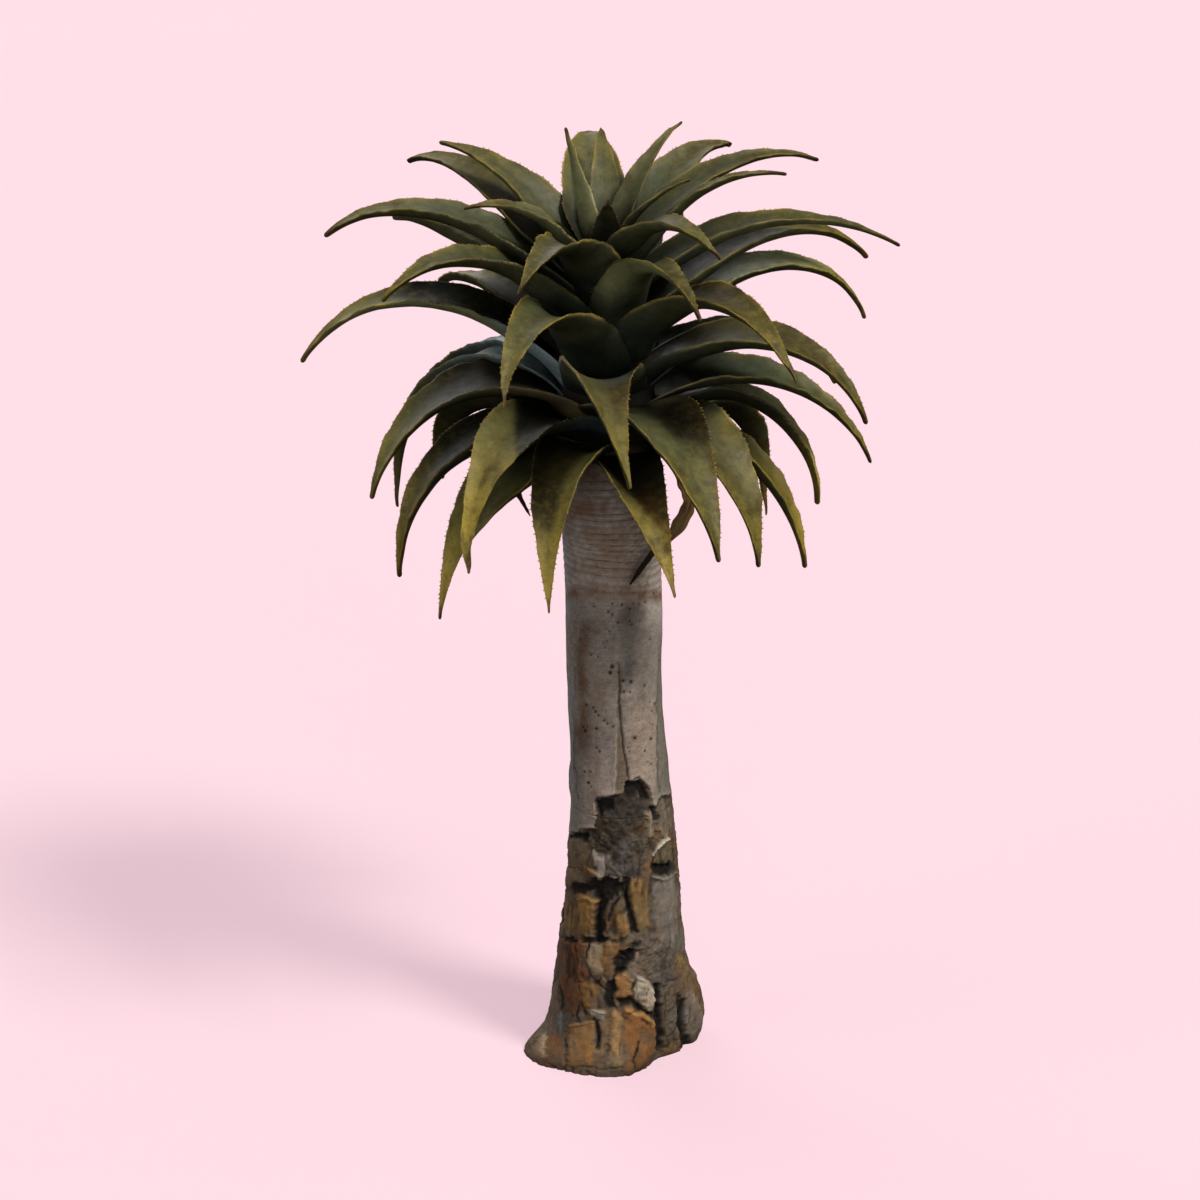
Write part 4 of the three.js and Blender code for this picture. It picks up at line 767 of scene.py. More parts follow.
    # stains run over the edges of the plates
    wash = mix(np.tile(lin(126, 94, 56), (len(z), 1)), lin(100, 92, 84), smooth(-0.35, 0.35, fbm(base, 70, 268, 3)))
    wash = mix(wash, lin(86, 58, 36), smooth(0.10, 0.7, fbm(base, 42, 269, 3)))
    low = mix(low, wash, 0.20)
    low = mix(low, lin(44, 33, 24), 0.75 * fissure)
    low_h = low_h - 2.0 * fissure
    for line, wide, deep in CRACKS:
        k = np.exp(-(along(0.6 * gx + 0.4 * px, 0.6 * gy + 0.4 * py, line) / (wide * np.clip(0.80 + 1.1 * soft2, 0.15, 1.9))) ** 2) * keep
        k = k * (0.45 + 0.55 * smooth(0.20, 0.62, ragged))
        low = mix(low, lin(20, 15, 11), np.clip(1.2 * k, 0, 0.95))
        low_h = low_h - 0.8 * deep * k
    for outline, deep in HOLLOWS:
        box = np.array(outline)
        m = (gx > box[:, 0].min() - 6) & (gx < box[:, 0].max() + 6) & (gy > box[:, 1].min() - 6) & (gy < box[:, 1].max() + 6)
        if not m.any():
            continue
        d = inside(0.7 * gx[m] + 0.3 * px[m], 0.7 * gy[m] + 0.3 * py[m], outline)
        k = smooth(-1.8, 1.6, d + 1.0 * mottle[m]) * (1 - 0.45 * far[m]) * keep[m]
        # painted shade: the hollow is painted nearly black
        low[m] = mix(low[m], lin(15, 11, 8), 0.93 * k)
        low_h[m] = low_h[m] - deep * k
    for line, wide, tall, colour in LIPS:
        d = along(0.5 * gx + 0.5 * px, 0.5 * gy + 0.5 * py, line)
        k = np.exp(-(d / (wide * np.clip(0.9 + 0.6 * mottle, 0.35, 1.5))) ** 2) * keep * (1 - 0.85 * far)
        low = mix(low, lin(*colour), np.clip(1.15 * k, 0, 0.9))
        low_h = low_h + tall * k

    # the smooth bark lies over the old bark as a frayed sheet
    rim = np.interp(fx + 1.6 * fbm(base, 18, 74, 3), RIM[:, 0], RIM[:, 1]) + far * 14 * fbm(base, 45, 71, 3) + 1.8 * fbm(base, 20, 75, 4, 0.6)
    over = smooth(-0.9, 0.9, rim - fy)
    below = fy - rim
    shadow = np.exp(-(np.maximum(below, 0) / 4.2) ** 2) * (below > -1) * smooth(0.35, 0.6, 0.5 + 0.5 * fbm(base, 40, 73, 2) + 0.25 * smooth(590, 600, fx))
    low = mix(low, lin(28, 22, 17), np.clip(shadow, 0, 0.88))
    low_h = low_h - 1.6 * shadow
    curl = np.exp(-((below + 1.4) / 2.2) ** 2)
    stem = mix(stem, lin(172, 156, 141), curl * 0.35)
    height = height + 3.8 + 1.5 * curl
    total = low_h + (height - low_h) * over
    tint = mix(low, stem, over)
    rough = low_rough * (1 - over)

    # grit of the rough places
    grit1 = fbm(base, 13, 81, 3)
    grit2 = noise(base, 4.5, 83)
    grit3 = noise(base, 3.0, 84)
    total = total + rough * (1.6 * grit1 + 0.7 * grit2 + 0.45 * grit3) + (1 - over) * 0.35 * grit1
    tint = tint * (1 + rough[:, None] * (0.30 * grit1 + 0.30 * grit2 + 0.34 * grit3)[:, None])
    # painted shade at the foot, darker towards the ground
    foot = 1 - smooth(2, 34 + 14 * noise(base, 50, 91), z)
    tint = mix(tint, lin(54, 41, 29), 0.54 * foot)
    tint = np.clip(tint, 0.004, 0.9)

    # the relief fades out inside the rosette and keeps the foot on the ground
    total = (total - 3.0) * (1 - smooth(1080, 1160, z)) - 1.2
    points = base + out * total[:, None]
    return rows, count, points, tint


def build_trunk_piece(name, rows, count, points, tint, hub, top):
    """One stretch of the trunk: its relief between two heights, closed at both ends."""
    n = len(rows)
    points = np.vstack([points, top, hub])
    tip, low = len(points) - 2, len(points) - 1
    tint = np.vstack([tint, tint[-1:], tint[:1]])
    span = rows[-1] - rows[0]
    at = 0.04 + 0.90 * (rows - rows[0]) / span
    faces, uv = [], []
    for i in range(n - 1):
        for j in range(count):
            k = (j + 1) % count
            faces.append((i * count + j, i * count + k, (i + 1) * count + k, (i + 1) * count + j))
            u0, u1 = j / count, (j + 1) / count
            uv += [(u0, at[i]), (u1, at[i]), (u1, at[i + 1]), (u0, at[i + 1])]
    body = len(faces)
    for j in range(count):
        k = (j + 1) % count
        faces.append(((n - 1) * count + j, (n - 1) * count + k, tip))
        uv += [(j / count, 0.95), ((j + 1) / count, 0.95), ((j + 0.5) / count, 0.99)]
    for j in range(count):
        k = (j + 1) % count
        faces.append((k, j, low))
        uv += [((j + 1) / count, 0.035), (j / count, 0.035), ((j + 0.5) / count, 0.005)]
    piece = make_piece(name, points, faces, tint, uv, BARK_MATERIAL, body)
    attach(piece, "root")
    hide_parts("trunk")
    return piece


def build_trunk():
    """The trunk as two stretches that meet at one ring: the split old bark below, the smooth stem above."""
    rows, count, points, tint = trunk_surface()
    cut = int(np.argmax(rows > 465))
    ring = slice(cut * count, (cut + 1) * count)
    middle = points[ring].mean(0)
    build_trunk_piece("trunk_bark_old", rows[:cut + 1], count, points[:(cut + 1) * count], tint[:(cut + 1) * count], np.array([6.0, 4.0, 0.0]), middle)
    build_trunk_piece("trunk_bark_smooth", rows[cut:], count, points[cut * count:], tint[cut * count:], middle, np.array([float(axis_x(TIP_Z)), 0.0, TIP_Z]))


# --------------------------------------------------------------------- leaves
UP_STATIONS = np.array([-1, -0.965, -0.92, -0.82, -0.66, -0.48, -0.30, -0.14, 0, 0.14, 0.30, 0.48, 0.66, 0.82, 0.92, 0.965, 1])
LOW_STATIONS = np.array([0.95, 0.84, 0.68, 0.50, 0.32, 0.16, 0, -0.16, -0.32, -0.50, -0.68, -0.84, -0.95])
LEAF_STEPS = 104
BASE_STEPS = 4
TIP_STEPS = 5
TIERS = {
    # skin of the upper side, and towards the point
    "low": (lin(94, 90, 50), lin(146, 124, 44)),
    "mid": (lin(83, 86, 56), lin(116, 105, 47)),
    "top": (lin(85, 88, 65), lin(106, 100, 55)),
}
# leaves whose skin differs from their tier's: green-grey, brown or bluish, the blue partly a painted sheen of cool
# light
HUES = {
    "leaf_low_05": lin(67, 77, 70), "leaf_low_08": lin(80, 78, 50), "leaf_low_11": lin(84, 92, 68),
    "leaf_mid_01": lin(92, 91, 58), "leaf_mid_04": lin(80, 86, 60), "leaf_mid_06": lin(74, 86, 84),
    "leaf_mid_08": lin(90, 88, 58), "leaf_mid_11": lin(88, 82, 50), "leaf_mid_12": lin(86, 100, 105),
    "leaf_mid_03": lin(94, 87, 48), "leaf_mid_17": lin(86, 74, 42), "leaf_mid_18": lin(98, 101, 74), "leaf_mid_23": lin(84, 88, 58),
    "leaf_top_05": lin(86, 84, 50), "leaf_top_09": lin(80, 82, 52), "leaf_top_12": lin(80, 82, 52),
    "leaf_top_18": lin(134, 130, 94), "leaf_top_06": lin(84, 78, 48), "leaf_top_04": lin(86, 84, 54),
}
# how much more slender the outer half is than the common taper
SLENDER = {
    "leaf_low_02": 0.50, "leaf_low_07": 0.05, "leaf_low_09": 0.52, "leaf_low_01": 0.10, "leaf_mid_05": 0.05,
    "leaf_mid_08": 0.10, "leaf_mid_15": 0.12, "leaf_top_04": 0.12, "leaf_top_05": 0.40, "leaf_top_13": 0.0,
    "leaf_mid_22": 0.15, "leaf_top_18": 0.0, "leaf_mid_01": 0.0, "leaf_mid_03": 0.0, "leaf_low_10": 0.05,
}
# broad leaves with a rounded end, thinner or wider ones, deeper channels
ROUND = {"leaf_top_13": 3.0, "leaf_top_18": 1.7, "leaf_top_17": 2.0, "leaf_top_15": 3.2}
THINNER = {"leaf_top_05": 0.60, "leaf_mid_18": 0.75, "leaf_mid_04": 0.60, "leaf_low_11": 1.60, "leaf_low_10": 1.30, "leaf_low_04": 1.40, "leaf_top_02": 1.50}
WIDER = {"leaf_top_18": 1.7, "leaf_top_09": 1.15, "leaf_low_02": 1.16, "leaf_top_15": 1.25, "leaf_low_09": 1.035, "leaf_low_04": 1.25, "leaf_top_02": 1.22}
# half width that a blunt end keeps, and how much higher a point stands
BLUNT = {"leaf_low_09": 9.0, "leaf_top_17": 9.0, "leaf_top_13": 8.0, "leaf_top_03": 8.5}
LIFT = {"leaf_top_13": 9.0}
# height of a foot's flanks over its middle
FLANKS = {"leaf_low_07": 8.0}
DEEPER = {"leaf_mid_08": 1.5, "leaf_low_01": 1.15, "leaf_mid_01": 1.4, "leaf_mid_03": 1.6, "leaf_mid_05": 1.5}
# single leaves lighter or darker than their tier, partly painted light and shade of how each leaf is lit: upper side,
# point, under side
TONES = {
    "leaf_top_08": (0.76, 0.80, 1.0), "leaf_top_06": (0.60, 0.72, 1.0), "leaf_mid_20": (0.66, 0.72, 1.0), "leaf_top_04": (0.66, 0.44, 0.55),
    "leaf_mid_22": (0.75, 0.42, 3.6), "leaf_mid_17": (0.42, 0.80, 1.0), "leaf_mid_11": (0.85, 0.50, 1.0), "leaf_top_05": (0.66, 0.66, 2.0),
    "leaf_mid_23": (0.66, 0.75, 1.3), "leaf_top_18": (2.0, 1.9, 1.8), "leaf_mid_18": (2.5, 1.35, 1.0), "leaf_low_11": (3.0, 1.6, 0.5),
    "leaf_mid_05": (1.05, 1.6, 1.0), "leaf_low_09": (0.95, 1.45, 1.0), "leaf_top_10": (0.9, 0.9, 2.6), "leaf_top_14": (0.9, 0.8, 1.5),
    "leaf_mid_10": (1.25, 1.1, 3.6), "leaf_mid_15": (0.78, 0.74, 1.0), "leaf_mid_01": (0.95, 0.62, 1.0), "leaf_top_15": (0.08, 0.08, 0.10),
    "leaf_mid_03": (0.95, 0.85, 1.0), "leaf_mid_12": (2.0, 1.4, 1.2), "leaf_mid_06": (1.7, 1.2, 1.2), "leaf_top_17": (1.05, 1.1, 1.0), "leaf_top_12": (0.8, 0.8, 1.2),
}
MARGIN = lin(176, 150, 60)
FOOT_SKIN = lin(64, 74, 64)
# the under side is painted darker than the upper, partly as painted shade
UNDER_SKIN = {"low": lin(66, 64, 42), "mid": lin(74, 74, 49), "top": lin(84, 84, 57)}
BROWN_TIP = lin(70, 46, 26)
TOOTH = lin(96, 70, 34)
# how far round the stem a foot reaches, as a share of the half width, and how far out that goes on
CLASP = 1.05
CLASP_TO = 0.30
# painted shade: what is left of the colour where leaves stand closest
DEEP = 0.20
OPEN_LO = 0.06
OPEN_HI = 0.62


# painted shade on single leaves where the leaves above shadow them, partly also darker and browner skin, and on
# leaf_mid_08 a painted bluish sheen near the foot: across from and full, along full and to, colour, share
SHADED = {
    "leaf_low_07": [(0.60, 0.10, 0.58, 0.84, lin(34, 28, 13), 0.86)],
    "leaf_low_08": [(-3.0, -2.0, 0.42, 0.74, lin(28, 26, 17), 0.86)],
    "leaf_low_10": [(-3.0, -2.0, 0.20, 0.44, lin(34, 28, 16), 0.75)],
    "leaf_low_11": [(-0.40, -0.72, 0.88, 1.0, lin(13, 12, 8), 0.92)],
    "leaf_mid_01": [(-0.12, 0.26, 0.38, 0.55, lin(20, 15, 7), 0.94), (0.62, 0.95, 0.80, 0.98, lin(50, 40, 22), 0.55)],
    "leaf_mid_03": [(-3.0, -2.0, 0.17, 0.33, lin(16, 14, 9), 0.90)],
    "leaf_mid_05": [(-3.0, -2.0, 0.42, 0.70, lin(33, 28, 15), 0.86)],
    "leaf_mid_08": [(-0.02, 0.34, 0.60, 0.84, lin(58, 41, 19), 0.72), (0.02, 0.30, 0.42, 0.54, lin(76, 84, 82), 0.75)],
    "leaf_mid_10": [(-3.0, -2.0, 0.54, 0.68, lin(11, 11, 7), 0.94)],
    "leaf_mid_11": [(-3.0, -2.0, 0.10, 0.34, lin(30, 30, 20), 0.70)],
    "leaf_mid_14": [(-3.0, -2.0, 0.30, 0.60, lin(26, 25, 16), 0.75)],
    "leaf_mid_20": [(-0.10, 0.40, 0.50, 0.80, lin(44, 40, 24), 0.60)],
    "leaf_top_03": [(0.10, 0.55, 0.55, 0.85, lin(40, 37, 24), 0.60)],
    "leaf_top_13": [(-3.0, -2.0, 0.16, 0.46, lin(20, 19, 12), 0.80)],
    "leaf_top_15": [(-3.0, -2.0, 1.20, 1.40, lin(14, 13, 8), 0.90)],
    "leaf_top_17": [(-3.0, -2.0, 0.14, 0.50, lin(20, 19, 12), 0.80)],
}


# feet that catch a little light between the leaves: across from and to, along to, colour, share
GLEAM = {
    "leaf_mid_10": [(0.10, 0.50, 0.32, lin(150, 168, 174), 0.80)],
    "leaf_mid_06": [(-3.0, -2.0, 0.54, lin(112, 128, 132), 0.75)],
    "leaf_mid_12": [(-3.0, -2.0, 0.66, lin(128, 148, 156), 0.80)],
    "leaf_mid_05": [(0.10, 0.55, 0.40, lin(116, 100, 70), 0.75)],
    "leaf_low_09": [(0.40, 0.70, 0.36, lin(74, 88, 92), 0.65)],
    "leaf_low_07": [(-3.0, -2.0, 0.16, lin(70, 68, 52), 0.60)],
    "leaf_mid_01": [(-0.9, -0.5, 0.20, lin(70, 66, 48), 0.55)],
    "leaf_low_11": [(-0.52, -0.26, 1.30, lin(156, 152, 108), 0.70)],
}


def brightness(share):
    """How much of the skin's colour is left at a share of open sky."""
    clear = np.clip((np.asarray(share, float) - OPEN_LO) / (OPEN_HI - OPEN_LO), 0, 1)
    return DEEP + (1 - DEEP) * clear ** 1.15


def leaf_curve(row, t):
    """Midrib points and the across and face directions at stations t."""
    _, foot, bearing, rise, droop, bend, length, half, channel, roll, sweep, off = row
    fine = np.linspace(0, 1, 257)
    el = np.radians(rise + (droop - rise) * fine ** bend)
    az = np.radians(bearing + sweep * fine ** 1.5)
    d = np.stack([np.cos(el) * np.cos(az), np.cos(el) * np.sin(az), np.sin(el)], 1)
    step = length / 256
    reach = stem_r(foot) + 1 + off
    b0 = math.radians(bearing)
    start = np.array([float(axis_x(foot)) + reach * math.cos(b0), reach * math.sin(b0), foot])
    mid = np.vstack([np.zeros(3), np.cumsum((d[1:] + d[:-1]) * 0.5 * step, 0)]) + start
    s = np.clip(t, 0, 1)
    at = np.stack([np.interp(s, fine, mid[:, k]) for k in range(3)], 1)
    el = np.radians(rise + (droop - rise) * s ** bend)
    az = np.radians(bearing + sweep * s ** 1.5)
    tangent = np.stack([np.cos(el) * np.cos(az), np.cos(el) * np.sin(az), np.sin(el)], 1)
    side = np.stack([-np.sin(az), np.cos(az), np.zeros_like(az)], 1)
    up = np.cross(tangent, side)
    turn = np.radians(roll * s)[:, None]
    across = side * np.cos(turn) + up * np.sin(turn)
    face = up * np.cos(turn) - side * np.sin(turn)
    at = at + tangent * ((t - s) * length)[:, None]
    return at, tangent, across, face


def leaf_shape(row, number):
    """Surface of a leaf as a grid: rows along it, columns round its section."""
    name, foot, bearing, rise, droop, bend, length, half, channel, roll, sweep, off = row
    rng = np.random.default_rng(4000 + number)
    # stations: a short root inside the stem, the blade, a rounded point
    inner = -np.linspace((off + 16) / length, 0, BASE_STEPS, endpoint=False)
    blade = np.linspace(0, 1, LEAF_STEPS + 1)
    blade = blade + 0.035 * np.sin(np.pi * blade) * blade
    blade = blade / blade[-1]
    half = half * WIDER.get(name, 1.0)
    channel = channel * DEEPER.get(name, 1.0)
    tip_r = 1.5 + 0.007 * half
    ball = np.sin(np.linspace(0, np.pi / 2, TIP_STEPS + 1)[1:])
    t = np.concatenate([inner, blade, 1 + ball * tip_r * 3.0 / length])
    at, tangent, across, face = leaf_curve(row, t)
    s = np.clip(t, 0, 1)
    n = len(t)
    at = at + np.outer(smooth(0.25, 1.0, s), (0.0, 0.0, LIFT.get(name, 0.0)))

    grow = 0.88 + 0.12 * smooth(0, 0.24, s)
    w = half * (1 - s ** ROUND.get(name, 1.25)) * grow * (1 - SLENDER.get(name, 0.14) * smooth(0.36, 0.92, s))
    wobble = np.interp(s, np.linspace(0, 1, 9), rng.normal(0, 1, 9))
    w = w * (1 + 0.022 * wobble * smooth(0.1, 0.3, s))
    w = np.sqrt(w ** 2 + tip_r ** 2 + (BLUNT.get(name, 0.0) * smooth(0.45, 0.80, s)) ** 2 * (1 - s ** 10))
    # small nicks and swellings of both margins
    knots = np.linspace(0, 1, int(length / 8))
    fresh = smooth(0.10, 0.25, s) * (1 - 0.6 * smooth(0.9, 1, s))
    nick_l = np.interp(s, knots, np.clip(rng.normal(0, 0.62, len(knots)), -1.5, 0.9)) * fresh
    nick_r = np.interp(s, knots, np.clip(rng.normal(0, 0.62, len(knots)), -1.5, 0.9)) * fresh
    # fleshy keel below, dished channel above
    thick = np.minimum(21.0, 0.31 * half) * (1 - 0.52 * s) * (0.55 + 0.45 * smooth(0, 0.25, s)) * THINNER.get(name, 1.0)
    thick = thick * (1 - 0.30 * smooth(0.6, 0.95, s))
    thick = np.maximum(thick, 2.0 * tip_r * 0.72 * smooth(0.70, 1, s))
    rim = 1.5 * (1 - 0.40 * s)
    close = np.ones(n)
    close[-TIP_STEPS:] = np.cos(np.linspace(0, np.pi / 2, TIP_STEPS + 1)[1:]) + 0.02
    close[-1] = 0.02
    c = channel * (1 - 0.35 * s)
    dip = 0.09 * smooth(0.0, 0.2, s) * (1 - 0.3 * s)

    waves = 2 * np.pi * s * length / (70 + 40 * rng.random())
    wave_l = (np.sin(waves + 6.28 * rng.random()) + 0.6 * np.sin(2.3 * waves + 6.28 * rng.random())) * (0.7 + 0.9 * rng.random()) * smooth(0.08, 0.3, s) * (1 - smooth(0.8, 1, s))
    wave_r = (np.sin(waves * 1.13 + 6.28 * rng.random()) + 0.6 * np.sin(2.7 * waves + 6.28 * rng.random())) * (0.7 + 0.9 * rng.random()) * smooth(0.08, 0.3, s) * (1 - smooth(0.8, 1, s))
    beads = 0.25 + 0.5 * np.interp(s, knots, rng.random(len(knots)))
    points, flat, sides = [], [], []
    for u in UP_STATIONS:
        x = w * u * (1 - 0.12 * c * u * u) + (nick_r if u > 0 else -nick_l) * abs(u) ** 10
        y = c * w * u * u - dip * w * (1 - u * u) + np.where(u < 0, wave_l, wave_r) * abs(u) ** 3
        bead = smooth(0.90, 0.965, abs(u)) * (1 - smooth(0.985, 1.0, abs(u)))
        y = y + beads * rim * bead
        points.append((x, y))
        flat.append(u)
        sides.append(1)
    for u in LOW_STATIONS:
        keel = (1 - abs(u) ** 2.3) ** 0.8
        x = 0.985 * w * u + (nick_r if u > 0 else -nick_l) * abs(u) ** 10
        y = c * w * u * u - dip * w * (1 - u * u) + np.where(u < 0, wave_l, wave_r) * abs(u) ** 3 - rim * (1.0 + 0.4 * keel) - thick * keel
        points.append((x, y))
        flat.append(u)
        sides.append(-1)
    xs = np.stack([p[0] for p in points], 1)
    ys = np.stack([p[1] for p in points], 1)
    middle = -0.5 * thick
    xs = xs * close[:, None]
    ys = middle[:, None] + (ys - middle[:, None]) * close[:, None]
    # the foot clasps the stem: its section follows the stem round and opens into the channel further out
    turn = np.array(flat)
    girth = stem_r(foot)
    arc = min(CLASP * half / girth, 1.2) * turn + math.radians(bearing)
    reach = girth + 1 + off * (1 - turn ** 2)
    start = at[BASE_STEPS]
    wrap = np.stack([axis_x(foot) + reach * np.cos(arc) - start[0], reach * np.sin(arc) - start[1], FLANKS.get(name, -6.0) * turn ** 2], 1)
    level = np.outer(c * w, turn ** 2) - np.outer(dip * w, 1 - turn ** 2)
    hold = 1 - smooth(0.0, CLASP_TO, t)
    opened = across[:, None, :] * xs[..., None] + face[:, None, :] * ys[..., None]
    held = wrap[None, :, :] + face[:, None, :] * (ys - level)[..., None]
    # the point hooks a little to one side
    hook = (rng.normal(0, 3.2) * smooth(0.86, 1.0, s) ** 2)[:, None] * across + (rng.normal(0, 2.2) * smooth(0.86, 1.0, s) ** 2)[:, None] * face
    grid = at[:, None, :] + hook[:, None, :] + opened + (held - opened) * hold[:, None, None]
    # soft dents and swellings of the flesh
    m = len(points)
    soft = fbm(grid.reshape(-1, 3), 70, 300 + number, 2).reshape(n, m)
    fade = smooth(0.05, 0.2, s) * (1 - smooth(0.85, 1.0, s))
    grid = grid + face[:, None, :] * (0.9 * soft * fade[:, None])[..., None]
    return {"row": row, "number": number, "rng": rng, "grid": grid, "s": s, "w": w, "rim": rim, "at": at, "tangent": tangent,
            "across": across, "face": face, "flat": np.array(flat), "sides": np.array(sides)}


def spread(count):
    """Directions over the half sphere round +Z, denser towards its pole."""
    k = np.arange(count) + 0.5
    r = np.sqrt(k / count)
    a = k * 2.399963
    return np.stack([r * np.cos(a), r * np.sin(a), np.sqrt(1 - r * r)], 1)


SEEN_COLUMNS = [0, 2, 4, 6, 8, 10, 12, 14, 16, 18, 20, 23, 26, 28]
RAYS = spread(36)


def openness(shapes):
    """Share of open sky over every leaf's surface, for the painted shade that keeps the crowded inner leaf dark."""
    verts, faces = [], []
    for q in shapes:
        rows = np.unique(np.r_[np.arange(0, len(q["s"]), 6), len(q["s"]) - 1])
        q["rows"] = rows
        g = q["grid"][rows][:, SEEN_COLUMNS]
        first = len(verts)
        verts += [tuple(v) for v in g.reshape(-1, 3)]
        k = len(SEEN_COLUMNS)
        for i in range(len(rows) - 1):
            for j in range(k):
                a, b = first + i * k, first + (i + 1) * k
                e = (j + 1) % k
                faces.append((a + j, b + j, b + e, a + e))
    first = len(verts)
    ring = 20
    heights = [900, 1060, 1230, 1330, 1390, 1430]
    for h in heights:
        for j in range(ring):
            a = 2 * math.pi * j / ring
            r = float(core_r(h)) - 3
            verts.append((float(axis_x(h)) + r * math.cos(a), r * math.sin(a), float(h)))
    for i in range(len(heights) - 1):
        for j in range(ring):
            a, b, e = first + i * ring, first + (i + 1) * ring, (j + 1) % ring
            faces.append((a + j, a + e, b + e, b + j))
    tree = BVHTree.FromPolygons(verts, faces)
    for q in shapes:
        g = q["grid"]
        along_it = np.gradient(g, axis=0)
        round_it = np.roll(g, -1, 1) - np.roll(g, 1, 1)
        normal = np.cross(along_it, round_it)
        normal /= np.maximum(np.linalg.norm(normal, axis=2, keepdims=True), 1e-9)
        rows = q["rows"]
        p = g[rows][:, SEEN_COLUMNS]
        nn = normal[rows][:, SEEN_COLUMNS]
        level = np.zeros(p.shape[:2])
        for i in range(p.shape[0]):
            for j in range(p.shape[1]):
                z = nn[i, j]
                x = np.cross(z, (0.31, 0.57, 0.76))
                x /= np.linalg.norm(x)
                y = np.cross(z, x)
                turn = 2.4 * (i * 14 + j)
                cs, sn = math.cos(turn), math.sin(turn)
                d = RAYS[:, :1] * (x * cs + y * sn) + RAYS[:, 1:2] * (y * cs - x * sn) + RAYS[:, 2:] * z
                start = Vector(p[i, j] + z * 4.0)
                shut = 0.0
                for v in d:
                    hit = tree.ray_cast(start, Vector(v), 600.0)[3]
                    if hit is not None:
                        shut += 1.0 if hit < 150 else 1 - 0.6 * (hit - 150) / 450
                level[i, j] = 1 - shut / len(d)
        # back to every row and column
        full = np.stack([np.interp(np.arange(len(q["s"])), rows, level[:, j]) for j in range(level.shape[1])], 1)
        order = np.arange(g.shape[1])
        wrap = np.r_[SEEN_COLUMNS, g.shape[1]]
        q["open"] = np.stack([np.interp(order, wrap, np.r_[v, v[0]]) for v in full], 0)


